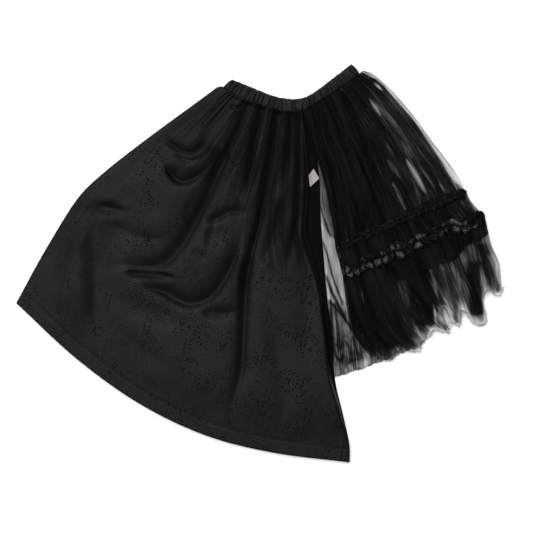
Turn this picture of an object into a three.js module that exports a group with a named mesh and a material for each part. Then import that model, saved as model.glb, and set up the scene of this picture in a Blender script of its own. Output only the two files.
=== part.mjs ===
// Jacquard and tulle skirt, laid flat on its back.
//
// One half is a long satin jacquard panel, front and back. The other half is shorter tulle in
// three layers, crossed by two rows of ruffle. Both are gathered into one elastic waistband.
//
// Millimetres. +X runs to the wearer's left, +Y runs up to the waist, +Z is up off the table.
// The origin is on the table, under the middle of the skirt's own box.
//
// Every piece of cloth is a wall: a plan (where a point lies on the table) and the height of the
// wall's underside, both worked out over the same grid, so the two faces never cross.

import * as THREE from 'three';

// ---------------------------------------------------------------- driving sizes

const SEAM_GAP = 0.3; // pieces stop this far apart where they are sewn
const JACQUARD_WALL = 1.4;
const BACK_WALL = 1.2;
const TULLE_WALL = 1.2;
const TRIM_WALL = 1.2;

const BAND_WALL = 3; // waistband casing, with its elastic inside
const BAND_PUCKER = 1.6; // how far each pucker stands up
const BAND_PUCKERS = 20;

const HEM_DEPTH = 28; // turned up once and stitched
const HEM_WALL = 1;
const HEM_INSET = 0.8;

const LABEL_WALL = 0.8;

// Heights of the undersides, from the table up.
const HEM_BACK_Z = BACK_WALL + SEAM_GAP;
const HEM_FRONT_Z = HEM_BACK_Z + HEM_WALL + SEAM_GAP;
const OVER_HEM_Z = HEM_FRONT_Z + HEM_WALL + SEAM_GAP;
const SIDE_SEAM_Z = BACK_WALL + SEAM_GAP;
const TULLE_BACK_Z = TRIM_WALL + SEAM_GAP; // where the back ruffles lie under it
const UNDERLAYER_Z = TULLE_BACK_Z + TULLE_WALL + SEAM_GAP;
const TULLE_FRONT_Z = UNDERLAYER_Z + TULLE_WALL + SEAM_GAP;
const BAND_FRONT_Z = BAND_WALL + SEAM_GAP;

// ---------------------------------------------------------------- colours

const SATIN_BLACK = { color: 0x26262a, roughness: 0.45 };
const SATIN_WRONG_SIDE = { color: 0x151517, roughness: 0.8 };
const TULLE_BLACK = { color: 0x121214, roughness: 0.9 };
const RUCHE_BLACK = { color: 0x2c2c30, roughness: 0.4 };
const LABEL_PINK = { color: 0xeedfe2, roughness: 0.7 };

// ---------------------------------------------------------------- outlines, x and y on the table

// The waistband is about 29 wide between its top edge and the seam below it.
const WAIST_TOP = [
  [-61, 383], [-8, 361], [35, 345], [78, 341], [103, 348], [162, 390], [195, 416],
];
const WAIST_SEAM = [
  [-78, 370], [-57, 353], [-2, 332], [36, 321], [64, 317], [91, 321], [134, 346], [185, 380], [210, 398],
];

// Lines that run down start at the band and end at the hem, so only the points between are given.
const SIDE_SEAM = [ // jacquard, which puffs out past the end of the band
  [-98, 361], [-126, 342], [-244, 258], [-378, 144], [-445, 38],
];
const JACQUARD_HEM = [ // from the long point round to the slit
  [-511, -84], [-378, -206], [-244, -300], [-109, -363], [25, -397], [188, -418],
];
const SLIT_FRONT = [ // free edge of the front panel
  [99, 220], [102, 153], [97, 69], [124, -36], [139, -141], [149, -233], [172, -317], [187, -384],
];
const SLIT_BACK = [ // the back panel shows past the front one
  [121, 210], [128, 88], [143, -90], [151, -162], [157, -248], [174, -317], [188, -384],
];
const TULLE_SIDE = [ // outer side of the tulle, from the band to the upper ruffle
  [228, 401], [250, 387], [313, 321], [363, 254], [412, 187],
];
const TULLE_SLIT = [ // inner side of the front tulle
  [118, 270], [127, 216], [153, 101],
];
const UPPER_RUFFLE = [ // from the slit out to the side
  [168, 35], [226, 61], [311, 97], [389, 132], [432, 150],
];
const LOWER_RUFFLE = [
  [181, -22], [232, 2], [291, 24], [349, 50], [388, 73], [420, 78], [471, 97],
];
const INSET_SIDE = [[440, 133]];
const INSET_SLIT = [[175, 6]];
const FLOUNCE_SIDE = [[478, 66], [487, 34], [502, 0]];
const FLOUNCE_SLIT = [[193, -78], [231, -172]];
const FLOUNCE_HEM = [ // loose tongues of gathered tulle
  [240, -214], [277, -203], [311, -188], [337, -182], [348, -160], [395, -146], [415, -131],
  [468, -126], [477, -82], [509, -56],
];
const UNDERLAYER_SLIT = [[121, 210], [128, 88], [143, -90], [151, -162]];
const UNDERLAYER_HEM = [
  [157, -240], [193, -228], [240, -212], [311, -184], [353, -152], [412, -128], [500, -60],
];

// ---------------------------------------------------------------- folds in the jacquard front

// Each row is one crease: the line that its trough follows, how deep the trough is, half its
// width, how high the cloth is pushed up beside it, and how much of its length fades at the start.
const CREASES = [
  { name: 'gather 1', depth: 8, half: 9, ridge: 3, fade: 0.1, line: [[-57, 349], [-115, 265], [-130, 246]] },
  { name: 'gather 2', depth: 8, half: 9, ridge: 3, fade: 0.1, line: [[-36, 340], [-71, 246], [-94, 206], [-130, 126]] },
  { name: 'gather 3', depth: 8, half: 12, ridge: 3, fade: 0.1, line: [[-8, 321], [-16, 281], [-27, 220], [-34, 155]] },
  { name: 'long gather', depth: 13, half: 12, ridge: 4, fade: 0.05, line: [[25, 313], [21, 254], [6, 166], [-21, 27], [-42, -174], [-59, -298]] },
  { name: 'gather 5', depth: 6, half: 7, ridge: 3, fade: 0.1, line: [[55, 313], [50, 273]] },
  { name: 'gather 6', depth: 8, half: 11, ridge: 3, fade: 0.1, line: [[78, 313], [78, 233], [67, 99], [52, 6], [57, -69]] },
  { name: 'shallow V', depth: 7, half: 11, ridge: 4, fade: 0.3, line: [[-191, 256], [-143, 233], [-107, 277]] },
  { name: 'basin', depth: 6, half: 14, ridge: 3, fade: 0.3, line: [[-202, 216], [-176, 190], [-107, 214]] },
  { name: 'sweep', depth: 10, half: 17, ridge: 4, fade: 0.3, line: [[-82, 216], [-113, 155], [-149, 86], [-191, 34], [-246, 8], [-302, 4]] },
  { name: 'hip crease', depth: 7, half: 14, ridge: 3, fade: 0.3, line: [[-368, 124], [-315, 120], [-281, 76], [-223, 61]] },
  { name: 'side drop', depth: 7, half: 17, ridge: 3, fade: 0.3, line: [[-372, 113], [-365, 25], [-357, -120], [-338, -189]] },
  { name: 'dent', depth: 7, half: 10, ridge: 4, fade: 0.4, line: [[-267, -19], [-166, -23]] },
  { name: 'cup', depth: 8, half: 14, ridge: 4, fade: 0.3, line: [[-233, -50], [-160, -76], [-80, -44], [-55, 44], [-23, 113]] },
];

const LOFT = 11; // height of the front panel's underside where nothing pulls it down
const EASE = 0.1; // share of the panel's width over which it rises from the side seam

// ---------------------------------------------------------------- small helpers

const clamp01 = (t) => Math.min(1, Math.max(0, t));
const mix = (a, b, t) => a + (b - a) * t;
const smooth = (t) => { const c = clamp01(t); return c * c * (3 - 2 * c); };

// A smooth line through points, read by its share of the length.
function smoothLine(vectors) {
  const curve = new THREE.CatmullRomCurve3(vectors, false, 'centripetal');
  return (t) => curve.getPointAt(clamp01(t));
}
const line = (points) => smoothLine(points.map(([x, y]) => new THREE.Vector3(x, y, 0)));

// A line moved sideways, to the left of its own direction, and cut to the stretch from a to b.
function offset(at, distance, a = 0, b = 1) {
  return (t) => {
    const s = mix(a, b, t);
    const ahead = at(Math.min(1, s + 0.004)).sub(at(Math.max(0, s - 0.004))).normalize();
    return at(s).add(new THREE.Vector3(-ahead.y, ahead.x, 0).multiplyScalar(distance));
  };
}

// The patch of cloth between four lines. top and bottom run across, and the points of left and
// right are what lies between their ends.
function patch({ top, bottom, left, right }) {
  const down = (points, t) => [top(t), ...points.map(([x, y]) => new THREE.Vector3(x, y, 0)), bottom(t)];
  const [leftLine, rightLine] = [smoothLine(down(left, 0)), smoothLine(down(right, 1))];
  const [c00, c10, c01, c11] = [top(0), top(1), bottom(0), bottom(1)];
  return (u, v) => {
    const betweenEnds = top(u).multiplyScalar(1 - v).addScaledVector(bottom(u), v);
    const betweenSides = leftLine(v).multiplyScalar(1 - u).addScaledVector(rightLine(v), u);
    const corners = c00.clone().multiplyScalar((1 - u) * (1 - v))
      .addScaledVector(c10, u * (1 - v))
      .addScaledVector(c01, (1 - u) * v)
      .addScaledVector(c11, u * v);
    return betweenEnds.add(betweenSides).sub(corners);
  };
}

// The strip of a given width that follows one line, from side a to side b of it.
function strip(at, a, b) {
  const [near, far] = [offset(at, a), offset(at, b)];
  return (u, v) => near(u).lerp(far(u), v);
}

// One closed wall of cloth. plan(u, v) is where a point lies, under(u, v, x, y) is the height of
// the wall's underside there, and across and down are the numbers of cells.
function cloth(name, finish, { plan, under, wall, across, down }) {
  const row = across + 1;
  const layer = row * (down + 1);
  const places = [];
  for (const lift of [wall, 0]) {
    for (let j = 0; j <= down; j++) {
      for (let i = 0; i <= across; i++) {
        const [u, v] = [i / across, j / down];
        const p = plan(u, v);
        places.push(p.x, p.y, under(u, v, p.x, p.y) + lift);
      }
    }
  }
  const faces = [];
  const quad = (a, b, c, d) => faces.push(a, b, c, a, c, d);
  for (let j = 0; j < down; j++) {
    for (let i = 0; i < across; i++) {
      const a = j * row + i;
      const [b, c, d] = [a + row, a + row + 1, a + 1];
      quad(a, b, c, d);
      quad(layer + a, layer + d, layer + c, layer + b);
    }
  }
  const rim = [];
  for (let j = 0; j < down; j++) rim.push(j * row);
  for (let i = 0; i < across; i++) rim.push(down * row + i);
  for (let j = down; j > 0; j--) rim.push(j * row + across);
  for (let i = across; i > 0; i--) rim.push(i);
  rim.forEach((a, k) => {
    const b = rim[(k + 1) % rim.length];
    quad(a, layer + a, layer + b, b);
  });
  const shape = new THREE.BufferGeometry();
  shape.setAttribute('position', new THREE.Float32BufferAttribute(places, 3));
  shape.setIndex(faces);
  shape.computeVertexNormals();
  const mesh = new THREE.Mesh(shape, new THREE.MeshStandardMaterial({ ...finish, metalness: 0 }));
  mesh.name = name;
  return mesh;
}

// How far a crease moves the cloth at x, y: down in its trough, up on both sides of it.
function creaseHeight({ line: points, depth, half, ridge, fade }, x, y) {
  let nearest = Infinity;
  let share = 0;
  const stretches = points.length - 1;
  for (let k = 0; k < stretches; k++) {
    const [[ax, ay], [bx, by]] = [points[k], points[k + 1]];
    const [dx, dy] = [bx - ax, by - ay];
    const t = clamp01(((x - ax) * dx + (y - ay) * dy) / (dx * dx + dy * dy));
    const d = Math.hypot(x - ax - t * dx, y - ay - t * dy);
    if (d < nearest) {
      nearest = d;
      share = (k + t) / stretches;
    }
  }
  const strength = mix(0.6, 1, smooth(share / fade)) * smooth((1 - share) / 0.3);
  const trough = Math.exp(-((nearest / half) ** 2));
  const beside = Math.exp(-(((nearest - 2 * half) / half) ** 2));
  return strength * (ridge * beside - depth * trough);
}

// ---------------------------------------------------------------- waistband

const waistSeam = offset(line(WAIST_SEAM), -SEAM_GAP); // where the skirt is sewn on

function waistband() {
  const plan = patch({ top: line(WAIST_TOP), bottom: line(WAIST_SEAM), left: [], right: [] });
  const pucker = (u, v) => {
    const ridges = 0.5 - 0.5 * Math.cos(2 * Math.PI * BAND_PUCKERS * u);
    return BAND_PUCKER * ridges * Math.sin(Math.PI * mix(0.15, 0.85, v));
  };
  return [
    cloth('waistband_front', SATIN_BLACK, {
      plan, under: (u, v) => BAND_FRONT_Z + pucker(u, v), wall: BAND_WALL, across: 2 * BAND_PUCKERS, down: 2,
    }),
    cloth('waistband_back', SATIN_BLACK, {
      plan, under: () => 0, wall: BAND_WALL, across: 24, down: 1,
    }),
  ];
}

// ---------------------------------------------------------------- jacquard half

const JACQUARD_SHARE = 0.55; // of the waistband
const hemline = line(JACQUARD_HEM);

function jacquard() {
  const sides = {
    top: (t) => waistSeam(mix(0, JACQUARD_SHARE, t)),
    bottom: hemline,
    left: SIDE_SEAM,
  };
  const seat = (v) => {
    const fromBand = mix(BAND_FRONT_Z + 1, SIDE_SEAM_Z, smooth(v / 0.08));
    return mix(fromBand, OVER_HEM_Z, smooth((v - 0.78) / 0.12));
  };
  const lowest = (u, v) => (u > 0.8 ? Math.max(seat(v), TULLE_FRONT_Z) : seat(v));
  const under = (u, v, x, y) => {
    const lofted = mix(LOFT, OVER_HEM_Z, smooth((v - 0.8) / 0.2));
    const rest = mix(seat(v), lofted, smooth(u / EASE));
    const folded = CREASES.reduce((z, crease) => z + creaseHeight(crease, x, y), rest);
    return Math.max(lowest(u, v), mix(seat(v), folded, smooth(u / EASE)));
  };
  return [
    cloth('jacquard_front', SATIN_BLACK, {
      plan: patch({ ...sides, right: SLIT_FRONT }), under, wall: JACQUARD_WALL, across: 32, down: 24,
    }),
    cloth('jacquard_back', SATIN_WRONG_SIDE, {
      plan: patch({ ...sides, right: SLIT_BACK }), under: () => 0, wall: BACK_WALL, across: 20, down: 14,
    }),
  ];
}

// Both hems are the panels' own lower edges, turned up between the two panels.
function hems() {
  const turned = (from, to) => {
    const stretch = (t) => hemline(mix(from, to, t));
    return strip(stretch, HEM_INSET + HEM_DEPTH, HEM_INSET);
  };
  return [
    cloth('hem_front', SATIN_WRONG_SIDE, {
      plan: turned(0.03, 0.965), under: () => HEM_FRONT_Z, wall: HEM_WALL, across: 26, down: 1,
    }),
    cloth('hem_back', SATIN_WRONG_SIDE, {
      plan: turned(0.03, 0.965), under: () => HEM_BACK_Z, wall: HEM_WALL, across: 26, down: 1,
    }),
  ];
}

// ---------------------------------------------------------------- tulle half

const GATHERS = 6; // soft ribs across the tulle
const GATHER_RISE = 4;
const TRIM_HALF = 13; // from a ruffle's middle to its edge
const sewnBelow = (at) => offset(at, -SEAM_GAP);

function tulle() {
  const band = (t) => waistSeam(mix(JACQUARD_SHARE + 0.01, 1, t));
  const upper = line(UPPER_RUFFLE);
  const lower = line(LOWER_RUFFLE);
  const stages = [
    { name: 'tulle', top: band, bottom: upper, left: TULLE_SLIT, right: TULLE_SIDE, down: 8 },
    { name: 'tulle_inset', top: sewnBelow(upper), bottom: lower, left: INSET_SLIT, right: INSET_SIDE, down: 2 },
    { name: 'flounce', top: sewnBelow(lower), bottom: line(FLOUNCE_HEM), left: FLOUNCE_SLIT,
      right: FLOUNCE_SIDE, down: 5 },
  ];
  const rib = (u) => GATHER_RISE * (0.5 - 0.5 * Math.cos(2 * Math.PI * GATHERS * u));
  const pieces = stages.flatMap(({ name, down, ...lines }) => {
    const plan = patch(lines);
    const front = (u) => TULLE_FRONT_Z + rib(u);
    const back = (u, v) => {
      const offFloor = name === 'tulle' ? Math.max(1 - v / 0.25, (v - 0.5) / 0.3) : 1 - (v - 0.3) / 0.3;
      return name === 'tulle_inset' ? TULLE_BACK_Z : mix(0, TULLE_BACK_Z, smooth(offFloor));
    };
    return [
      cloth(`${name}_front`, TULLE_BLACK, { plan, under: front, wall: TULLE_WALL, across: 4 * GATHERS, down }),
      cloth(`${name}_back`, TULLE_BLACK, { plan, under: back, wall: TULLE_WALL, across: 12, down }),
    ];
  });
  return [...pieces, underlayer(band), ...ruffles(upper, lower)];
}

// A plain inner layer, from the waist to the hem. It shows between the jacquard and the tulle.
function underlayer(band) {
  const tuck = 12; // under the edge of the jacquard front
  const inset = 8; // inside the outer layers
  const lines = {
    top: offset(band, -2 * SEAM_GAP),
    bottom: line(UNDERLAYER_HEM.map(([x, y], k) => [k === 0 ? x - tuck : x, y])),
    left: UNDERLAYER_SLIT.map(([x, y]) => [x - tuck, y]),
    right: [...TULLE_SIDE, UPPER_RUFFLE.at(-1), LOWER_RUFFLE.at(-1), ...FLOUNCE_SIDE]
      .map(([x, y]) => [x - inset, y]),
  };
  return cloth('tulle_underlayer', TULLE_BLACK, {
    plan: patch(lines), under: () => UNDERLAYER_Z, wall: TULLE_WALL, across: 10, down: 14,
  });
}

// A ruffle is a strip gathered along its middle. Its two edges frill in and out.
function ruffles(upper, lower) {
  const rows = [
    { name: 'ruffle_upper', at: upper, half: 0.5 * TRIM_HALF, frills: 14, rise: 2 },
    { name: 'ruffle_lower', at: lower, half: TRIM_HALF, frills: 16, rise: 3 },
  ];
  const over = TULLE_FRONT_Z + GATHER_RISE + TULLE_WALL + SEAM_GAP;
  return rows.flatMap(({ name, at, half, frills, rise }) => {
    const wave = (u) => Math.cos(2 * Math.PI * frills * u);
    const edge = (u, side) => side * half * (1 + 0.16 * wave(u));
    const plan = (u, v) => offset(at, mix(edge(u, 1), edge(u, -1), v))(u);
    const frill = (u, v) => rise * (0.5 + 0.5 * wave(u)) * Math.abs(2 * v - 1);
    return [
      cloth(`${name}_front`, RUCHE_BLACK, {
        plan, under: (u, v) => over + frill(u, v), wall: TRIM_WALL, across: 2 * frills, down: 2,
      }),
      cloth(`${name}_back`, RUCHE_BLACK, {
        plan: strip(at, half, -half), under: () => 0, wall: TRIM_WALL, across: 12, down: 1,
      }),
    ];
  });
}

// ---------------------------------------------------------------- care label

// A narrow satin tape, sewn in the seam at the slit and folded on the slant, with nothing on it.
function careLabel() {
  const lines = {
    top: line([[103, 194], [113, 194]]),
    bottom: line([[105, 158], [126, 172]]),
    left: [],
    right: [],
  };
  return [cloth('care_label', LABEL_PINK, {
    plan: patch(lines), under: () => TULLE_FRONT_Z, wall: LABEL_WALL, across: 1, down: 2,
  })];
}

// ---------------------------------------------------------------- the skirt

const skirt = new THREE.Group();
skirt.add(...waistband(), ...jacquard(), ...hems(), ...tulle(), ...careLabel());

export default skirt;
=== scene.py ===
# %% [markdown]
# # A skirt that is half satin jacquard and half tulle, laid flat
#
# The left half is a long panel of black satin jacquard, front and back. The right half is shorter
# black tulle in gathered layers, crossed by two rows of ruffle. One elastic waistband holds both.
#
# The skirt lies on its back on a pale floor. Each piece of cloth below is made the way it is cut: a
# flat shape between four lines, then the folds that gathering and laying it down give it.
# +X is the wearer's left, +Y is towards the waist and +Z is up off the floor.

import math
from collections import namedtuple

import bpy
import numpy as np
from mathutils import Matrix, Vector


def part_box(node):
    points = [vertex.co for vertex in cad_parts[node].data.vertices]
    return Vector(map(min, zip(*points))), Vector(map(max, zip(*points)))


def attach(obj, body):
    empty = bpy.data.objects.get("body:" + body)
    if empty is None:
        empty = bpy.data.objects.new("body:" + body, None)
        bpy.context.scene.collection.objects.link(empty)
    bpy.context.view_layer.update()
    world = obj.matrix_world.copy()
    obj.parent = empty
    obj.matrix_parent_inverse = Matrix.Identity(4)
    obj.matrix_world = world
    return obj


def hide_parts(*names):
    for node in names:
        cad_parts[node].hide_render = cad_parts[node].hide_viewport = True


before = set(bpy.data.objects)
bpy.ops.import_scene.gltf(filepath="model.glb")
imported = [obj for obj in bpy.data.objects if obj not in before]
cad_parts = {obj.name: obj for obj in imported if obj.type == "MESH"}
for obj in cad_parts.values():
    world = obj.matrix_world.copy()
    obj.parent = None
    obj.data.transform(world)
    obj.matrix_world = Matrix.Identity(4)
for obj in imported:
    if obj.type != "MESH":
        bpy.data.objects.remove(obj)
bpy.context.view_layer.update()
scene = bpy.context.scene
print("pieces in the frame:", len(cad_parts))

# %% [markdown]
# ## Camera, floor and light
#
# A garment laid flat is shown from straight above, so the camera looks down with no tilt. An 85 mm
# lens stands far enough off that the cloth's edges don't lean.
#
# Black satin shows its folds only by what it mirrors. A light tent that is bright overhead and dim
# at its sides does that: flat cloth mirrors the bright roof, and the side of a fold mirrors the dim
# wall. The tent is the world's own colour, brighter the nearer a direction is to the roof's middle.

# %% Camera
VIEW_WIDTH = 1.1193  # metres of floor across the picture
VIEW_CENTRE = (0.01365, -0.00735)
LENS_MM = 85
SENSOR_MM = 36

lens = bpy.data.cameras.new("camera_above")
lens.lens = LENS_MM
lens.sensor_width = SENSOR_MM
lens.clip_end = 60
camera = bpy.data.objects.new("camera_above", lens)
scene.collection.objects.link(camera)
camera.location = (*VIEW_CENTRE, VIEW_WIDTH * LENS_MM / SENSOR_MM)
scene.camera = camera
scene.view_settings.view_transform = "Standard"
print("camera height:", round(camera.location.z, 3), "m")

# %% One way to add a node
# Every material and every Geometry Nodes tree below is built with add. A list fills a node's
# inputs from the first one on, and a dictionary fills them by name or by number.
MATH, VECTOR_MATH, COMBINE = "ShaderNodeMath", "ShaderNodeVectorMath", "ShaderNodeCombineXYZ"
NOISE, MAP_RANGE = "ShaderNodeTexNoise", "ShaderNodeMapRange"
TINT_A, TINT_B, TINT = 6, 7, 2  # a Mix node's two colours, and its output that is a colour


def fill(node, inputs):
    """Sets a node's inputs. Each is a plain value, a socket, or a node whose first output is meant."""
    for name, value in inputs.items() if isinstance(inputs, dict) else enumerate(inputs):
        if isinstance(value, bpy.types.Node):
            value = value.outputs[0]
        if isinstance(value, bpy.types.NodeSocket):
            node.id_data.links.new(value, node.inputs[name])
        else:
            node.inputs[name].default_value = value


def add(tree, kind, inputs=(), **settings):
    """Adds a node with its settings and its inputs."""
    node = tree.nodes.new(kind)
    for name, value in settings.items():
        setattr(node, name, value)
    fill(node, inputs)
    return node


# %% Colours and materials


def linear(hex_colour):
    """The colour behind an sRGB hex value, in the linear numbers that the nodes take."""
    parts = [int(hex_colour[k:k + 2], 16) / 255 for k in (1, 3, 5)]
    flat = [p / 12.92 if p <= 0.04045 else ((p + 0.055) / 1.055) ** 2.4 for p in parts]
    return (*flat, 1)


def new_material(name, roughness, specular):
    """A material, its node tree, and its Principled shader with the constants of the finish set."""
    material = bpy.data.materials.new(name)
    material.use_nodes = True
    skin = material.node_tree.nodes["Principled BSDF"]
    fill(skin, {"Roughness": roughness, "Specular IOR Level": specular})
    print("material:", name)
    return material, material.node_tree, skin


# %% The light tent
ROOF_TOWARDS = (-0.34, 0.42, 1)  # the roof's middle leans to the waist and to the left
ROOF_LIGHT = 2.6
WALL_LIGHT = 0.08
ROOF_EDGE = (0.5, 0.9)  # cosines of the angles at which the roof starts and is at its brightest
BACKDROP_LIGHT = 0.95  # what the camera sees past the floor

world = bpy.data.worlds.new("light tent")
scene.world = world
world.use_nodes = True
tent = world.node_tree
tent.nodes.clear()
direction = add(tent, "ShaderNodeTexCoord").outputs["Generated"]
roof = np.array(ROOF_TOWARDS) / np.linalg.norm(ROOF_TOWARDS)
nearness = add(tent, VECTOR_MATH, [direction, tuple(roof)], operation="DOT_PRODUCT")
strength = add(tent, MAP_RANGE, {
    "Value": nearness.outputs["Value"], "From Min": ROOF_EDGE[0], "From Max": ROOF_EDGE[1],
    "To Min": WALL_LIGHT, "To Max": ROOF_LIGHT,
}, interpolation_type="SMOOTHSTEP")
lit = add(tent, "ShaderNodeBackground", {"Color": linear("#fdfdff"), "Strength": strength})
seen = add(tent, "ShaderNodeBackground", {"Color": linear("#ffffff"), "Strength": BACKDROP_LIGHT})
path = add(tent, "ShaderNodeLightPath")
backdrop = add(tent, "ShaderNodeMixShader", [path.outputs["Is Camera Ray"], lit, seen])
add(tent, "ShaderNodeOutputWorld", {"Surface": backdrop})
print("tent: roof", ROOF_LIGHT, "wall", WALL_LIGHT)

# %% A soft lamp
# One large soft lamp from the waist side draws the crests of the folds.
LAMP_PLACE = (-0.35, 1.0, 2.1)
LAMP_TILT = (math.radians(-26), math.radians(-8), 0)
LAMP_SIZE = 0.9  # metres across
LAMP_WATTS = 9

lamp_light = bpy.data.lights.new("soft_lamp", "AREA")
lamp_light.shape = "DISK"
lamp_light.size = LAMP_SIZE
lamp_light.energy = LAMP_WATTS
lamp = bpy.data.objects.new("soft_lamp", lamp_light)
scene.collection.objects.link(lamp)
lamp.location = LAMP_PLACE
lamp.rotation_euler = LAMP_TILT
lamp.visible_camera = False

# %% Floor
# A big plain sheet of card, matt and nearly white, just under the cloth.
FLOOR_SIZE = 60
FLOOR_DROP = 0.0004

bpy.ops.mesh.primitive_plane_add(size=FLOOR_SIZE, location=(0, 0, -FLOOR_DROP))
floor = bpy.context.object
floor.name = "floor"
paper, _, skin = new_material("matt white card", 0.9, 0.1)
fill(skin, {"Base Color": linear("#f8f8f8")})
floor.data.materials.append(paper)

# %% [markdown]
# ## Lines and patches
#
# A pattern piece is drawn with a few points and a curve through them. It could be modelled by hand
# in Edit Mode, but lines in code can be measured and shared between the pieces that are sewn along
# them. The curve here is a centripetal Catmull-Rom line, which passes through every point and never
# loops between them. A patch is then the cloth between four such lines: across it u runs from 0 to
# 1, and down it v does.

# %% Lines
MM = 0.001


def smooth_line(points, steps=500):
    """A smooth line through points given in millimetres, as places in metres at equal steps."""
    p = np.array(points, float) * MM
    if len(p) == 2:
        return p[0] + np.linspace(0, 1, steps)[:, None] * (p[1] - p[0])
    p = np.concatenate([[2 * p[0] - p[1]], p, [2 * p[-1] - p[-2]]])
    gap = np.sqrt(np.linalg.norm(np.diff(p, axis=0), axis=1))
    t = np.linspace(0, 1, 40)[:, None]
    stretches = []
    for k in range(1, len(p) - 2):
        a, b, c, d = p[k - 1:k + 3]
        before, here, after = gap[k - 1:k + 2]
        leave = here * ((b - a) / before - (c - a) / (before + here) + (c - b) / here)
        arrive = here * ((c - b) / here - (d - b) / (here + after) + (d - c) / after)
        bend = 3 * (c - b) - 2 * leave - arrive
        close = 2 * (b - c) + leave + arrive
        stretches.append(b + t * leave + t**2 * bend + t**3 * close)
    dense = np.concatenate(stretches)
    run = np.concatenate([[0], np.cumsum(np.linalg.norm(np.diff(dense, axis=0), axis=1))])
    even = np.linspace(0, run[-1], steps)
    return np.stack([np.interp(even, run, dense[:, k]) for k in (0, 1)], axis=-1)


# %% Parts of a line


def along(line, share):
    """The place a given share of the way along a line."""
    steps = np.linspace(0, 1, len(line))
    return np.stack([np.interp(share, steps, line[:, k]) for k in (0, 1)], axis=-1)


def beside(line, distance):
    """The line moved sideways, to the left of its own direction."""
    ahead = np.gradient(line, axis=0)
    ahead /= np.linalg.norm(ahead, axis=1)[:, None]
    return line + distance * np.stack([-ahead[:, 1], ahead[:, 0]], axis=-1)


def stretch(line, start, end):
    """The part of a line from one share of its length to another."""
    return along(line, np.linspace(start, end, len(line)))


# %% Patches


def patch(top, bottom, left, right, reach=1):
    """The cloth between lines top and bottom. left and right are points between their ends.

    With a reach above 1, the bends of the two sides die away quickly towards the middle."""
    def down(points, end):
        return smooth_line([top[end] / MM, *points, bottom[end] / MM])

    left_line, right_line = down(left, 0), down(right, -1)

    def plan(u, v):
        u1, v1 = u[..., None], v[..., None]
        between_ends = (1 - v1) * along(top, u) + v1 * along(bottom, u)
        left_bend = along(left_line, v) - mix(top[0], bottom[0], v1)
        right_bend = along(right_line, v) - mix(top[-1], bottom[-1], v1)
        return between_ends + (1 - u1) ** reach * left_bend + u1**reach * right_bend

    return plan


# %% Grids and easing


def grid(across, down):
    """u and v at each corner of a grid of cells."""
    return np.meshgrid(np.linspace(0, 1, across + 1), np.linspace(0, 1, down + 1))


def smooth(t):
    """Eases from 0 to 1."""
    t = np.clip(t, 0, 1)
    return t * t * (3 - 2 * t)


def mix(a, b, t):
    """From a to b."""
    return a + (b - a) * t


# %% Soft unevenness
# Real cloth is never quite even. This gives smooth random rises and dips, the same on every run.


def uneven(x, y, size, seed):
    """Between -1 and 1, with about `size` from one rise to the next."""
    table = np.random.default_rng(seed).uniform(-1, 1, (96, 96))
    column, row = np.floor(x / size), np.floor(y / size)
    s, t = smooth(x / size - column), smooth(y / size - row)
    i, j = column.astype(int) % 96, row.astype(int) % 96
    right, above = (i + 1) % 96, (j + 1) % 96
    near = mix(table[j, i], table[j, right], s)
    far = mix(table[above, i], table[above, right], s)
    return mix(near, far, t)


# %% A sheet of cloth from a grid
# Each sheet keeps its own UV map in metres of cloth, so a weave can follow it. A mark is a number
# kept at each point for the material to read, such as how thickly the net is gathered there.


def cloth_sheet(name, places, fabric, cloth_uv=None, thickness=None, **marks):
    """A mesh from rows of places. With a thickness it becomes a closed shell, grown downwards."""
    rows, columns = places.shape[:2]
    corner = np.arange(rows * columns).reshape(rows, columns)
    faces = np.stack([corner[:-1, :-1], corner[1:, :-1], corner[1:, 1:], corner[:-1, 1:]], axis=-1)
    mesh = bpy.data.meshes.new(name)
    mesh.from_pydata(places.reshape(-1, 3).tolist(), [], faces.reshape(-1, 4).tolist())
    mesh.shade_smooth()
    flat = places[..., :2] if cloth_uv is None else cloth_uv
    corners = np.zeros(len(mesh.loops), np.int32)
    mesh.loops.foreach_get("vertex_index", corners)
    mesh.uv_layers.new(name="UVMap").data.foreach_set("uv", flat.reshape(-1, 2)[corners].ravel())
    for mark, values in marks.items():
        layer = mesh.attributes.new(mark, "FLOAT", "POINT")
        layer.data.foreach_set("value", np.ascontiguousarray(values, np.float32).ravel())
    mesh.materials.append(fabric)
    piece = bpy.data.objects.new(name, mesh)
    scene.collection.objects.link(piece)
    if thickness:
        shell = piece.modifiers.new("thickness", "SOLIDIFY")
        shell.thickness = thickness
        shell.offset = -1
        settle(piece)
    return piece


# %% A finished piece
# What a modifier makes is kept as a plain mesh.


def settle(piece):
    """Turns what the modifiers make into the piece's own plain mesh."""
    bpy.context.view_layer.update()
    made = piece.evaluated_get(bpy.context.evaluated_depsgraph_get())
    mesh = bpy.data.meshes.new_from_object(made)
    mesh.name = piece.name
    piece.modifiers.clear()
    piece.data = mesh


def dress(piece, nodes):
    """Makes a piece stand for its nodes: hides them and hangs the piece from the root."""
    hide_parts(*nodes)
    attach(piece, "root")
    print(f"{piece.name}: {len(piece.data.polygons)} faces")


# %% [markdown]
# ## Satin jacquard
#
# Jacquard is figured in the weaving: the ground is satin, with long floating threads that mirror
# the light, and the figure is woven the other way up, so it looks duller and darker. There is no
# ink and no edge to feel. The cloth has wreaths and sprays of small pointed leaves, in upright
# columns, each column shifted down half a repeat from its neighbour.
#
# The figure could be a picture laid on the cloth, but drawn with nodes it stays sharp at any size
# and each number in it is a real one. One leaf is the unit. A ring of leaves and a row of leaves are
# two small node groups built on it, and the cloth is a handful of rings and rows in one repeat.

# %% Node group: one leaf
# A leaf is a long ellipse turned by a tilt. Sizes are in millimetres.
LEAF_EDGE = (1.3, 0.5)  # half sizes from its middle at which a leaf is gone and is at its fullest


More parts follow.
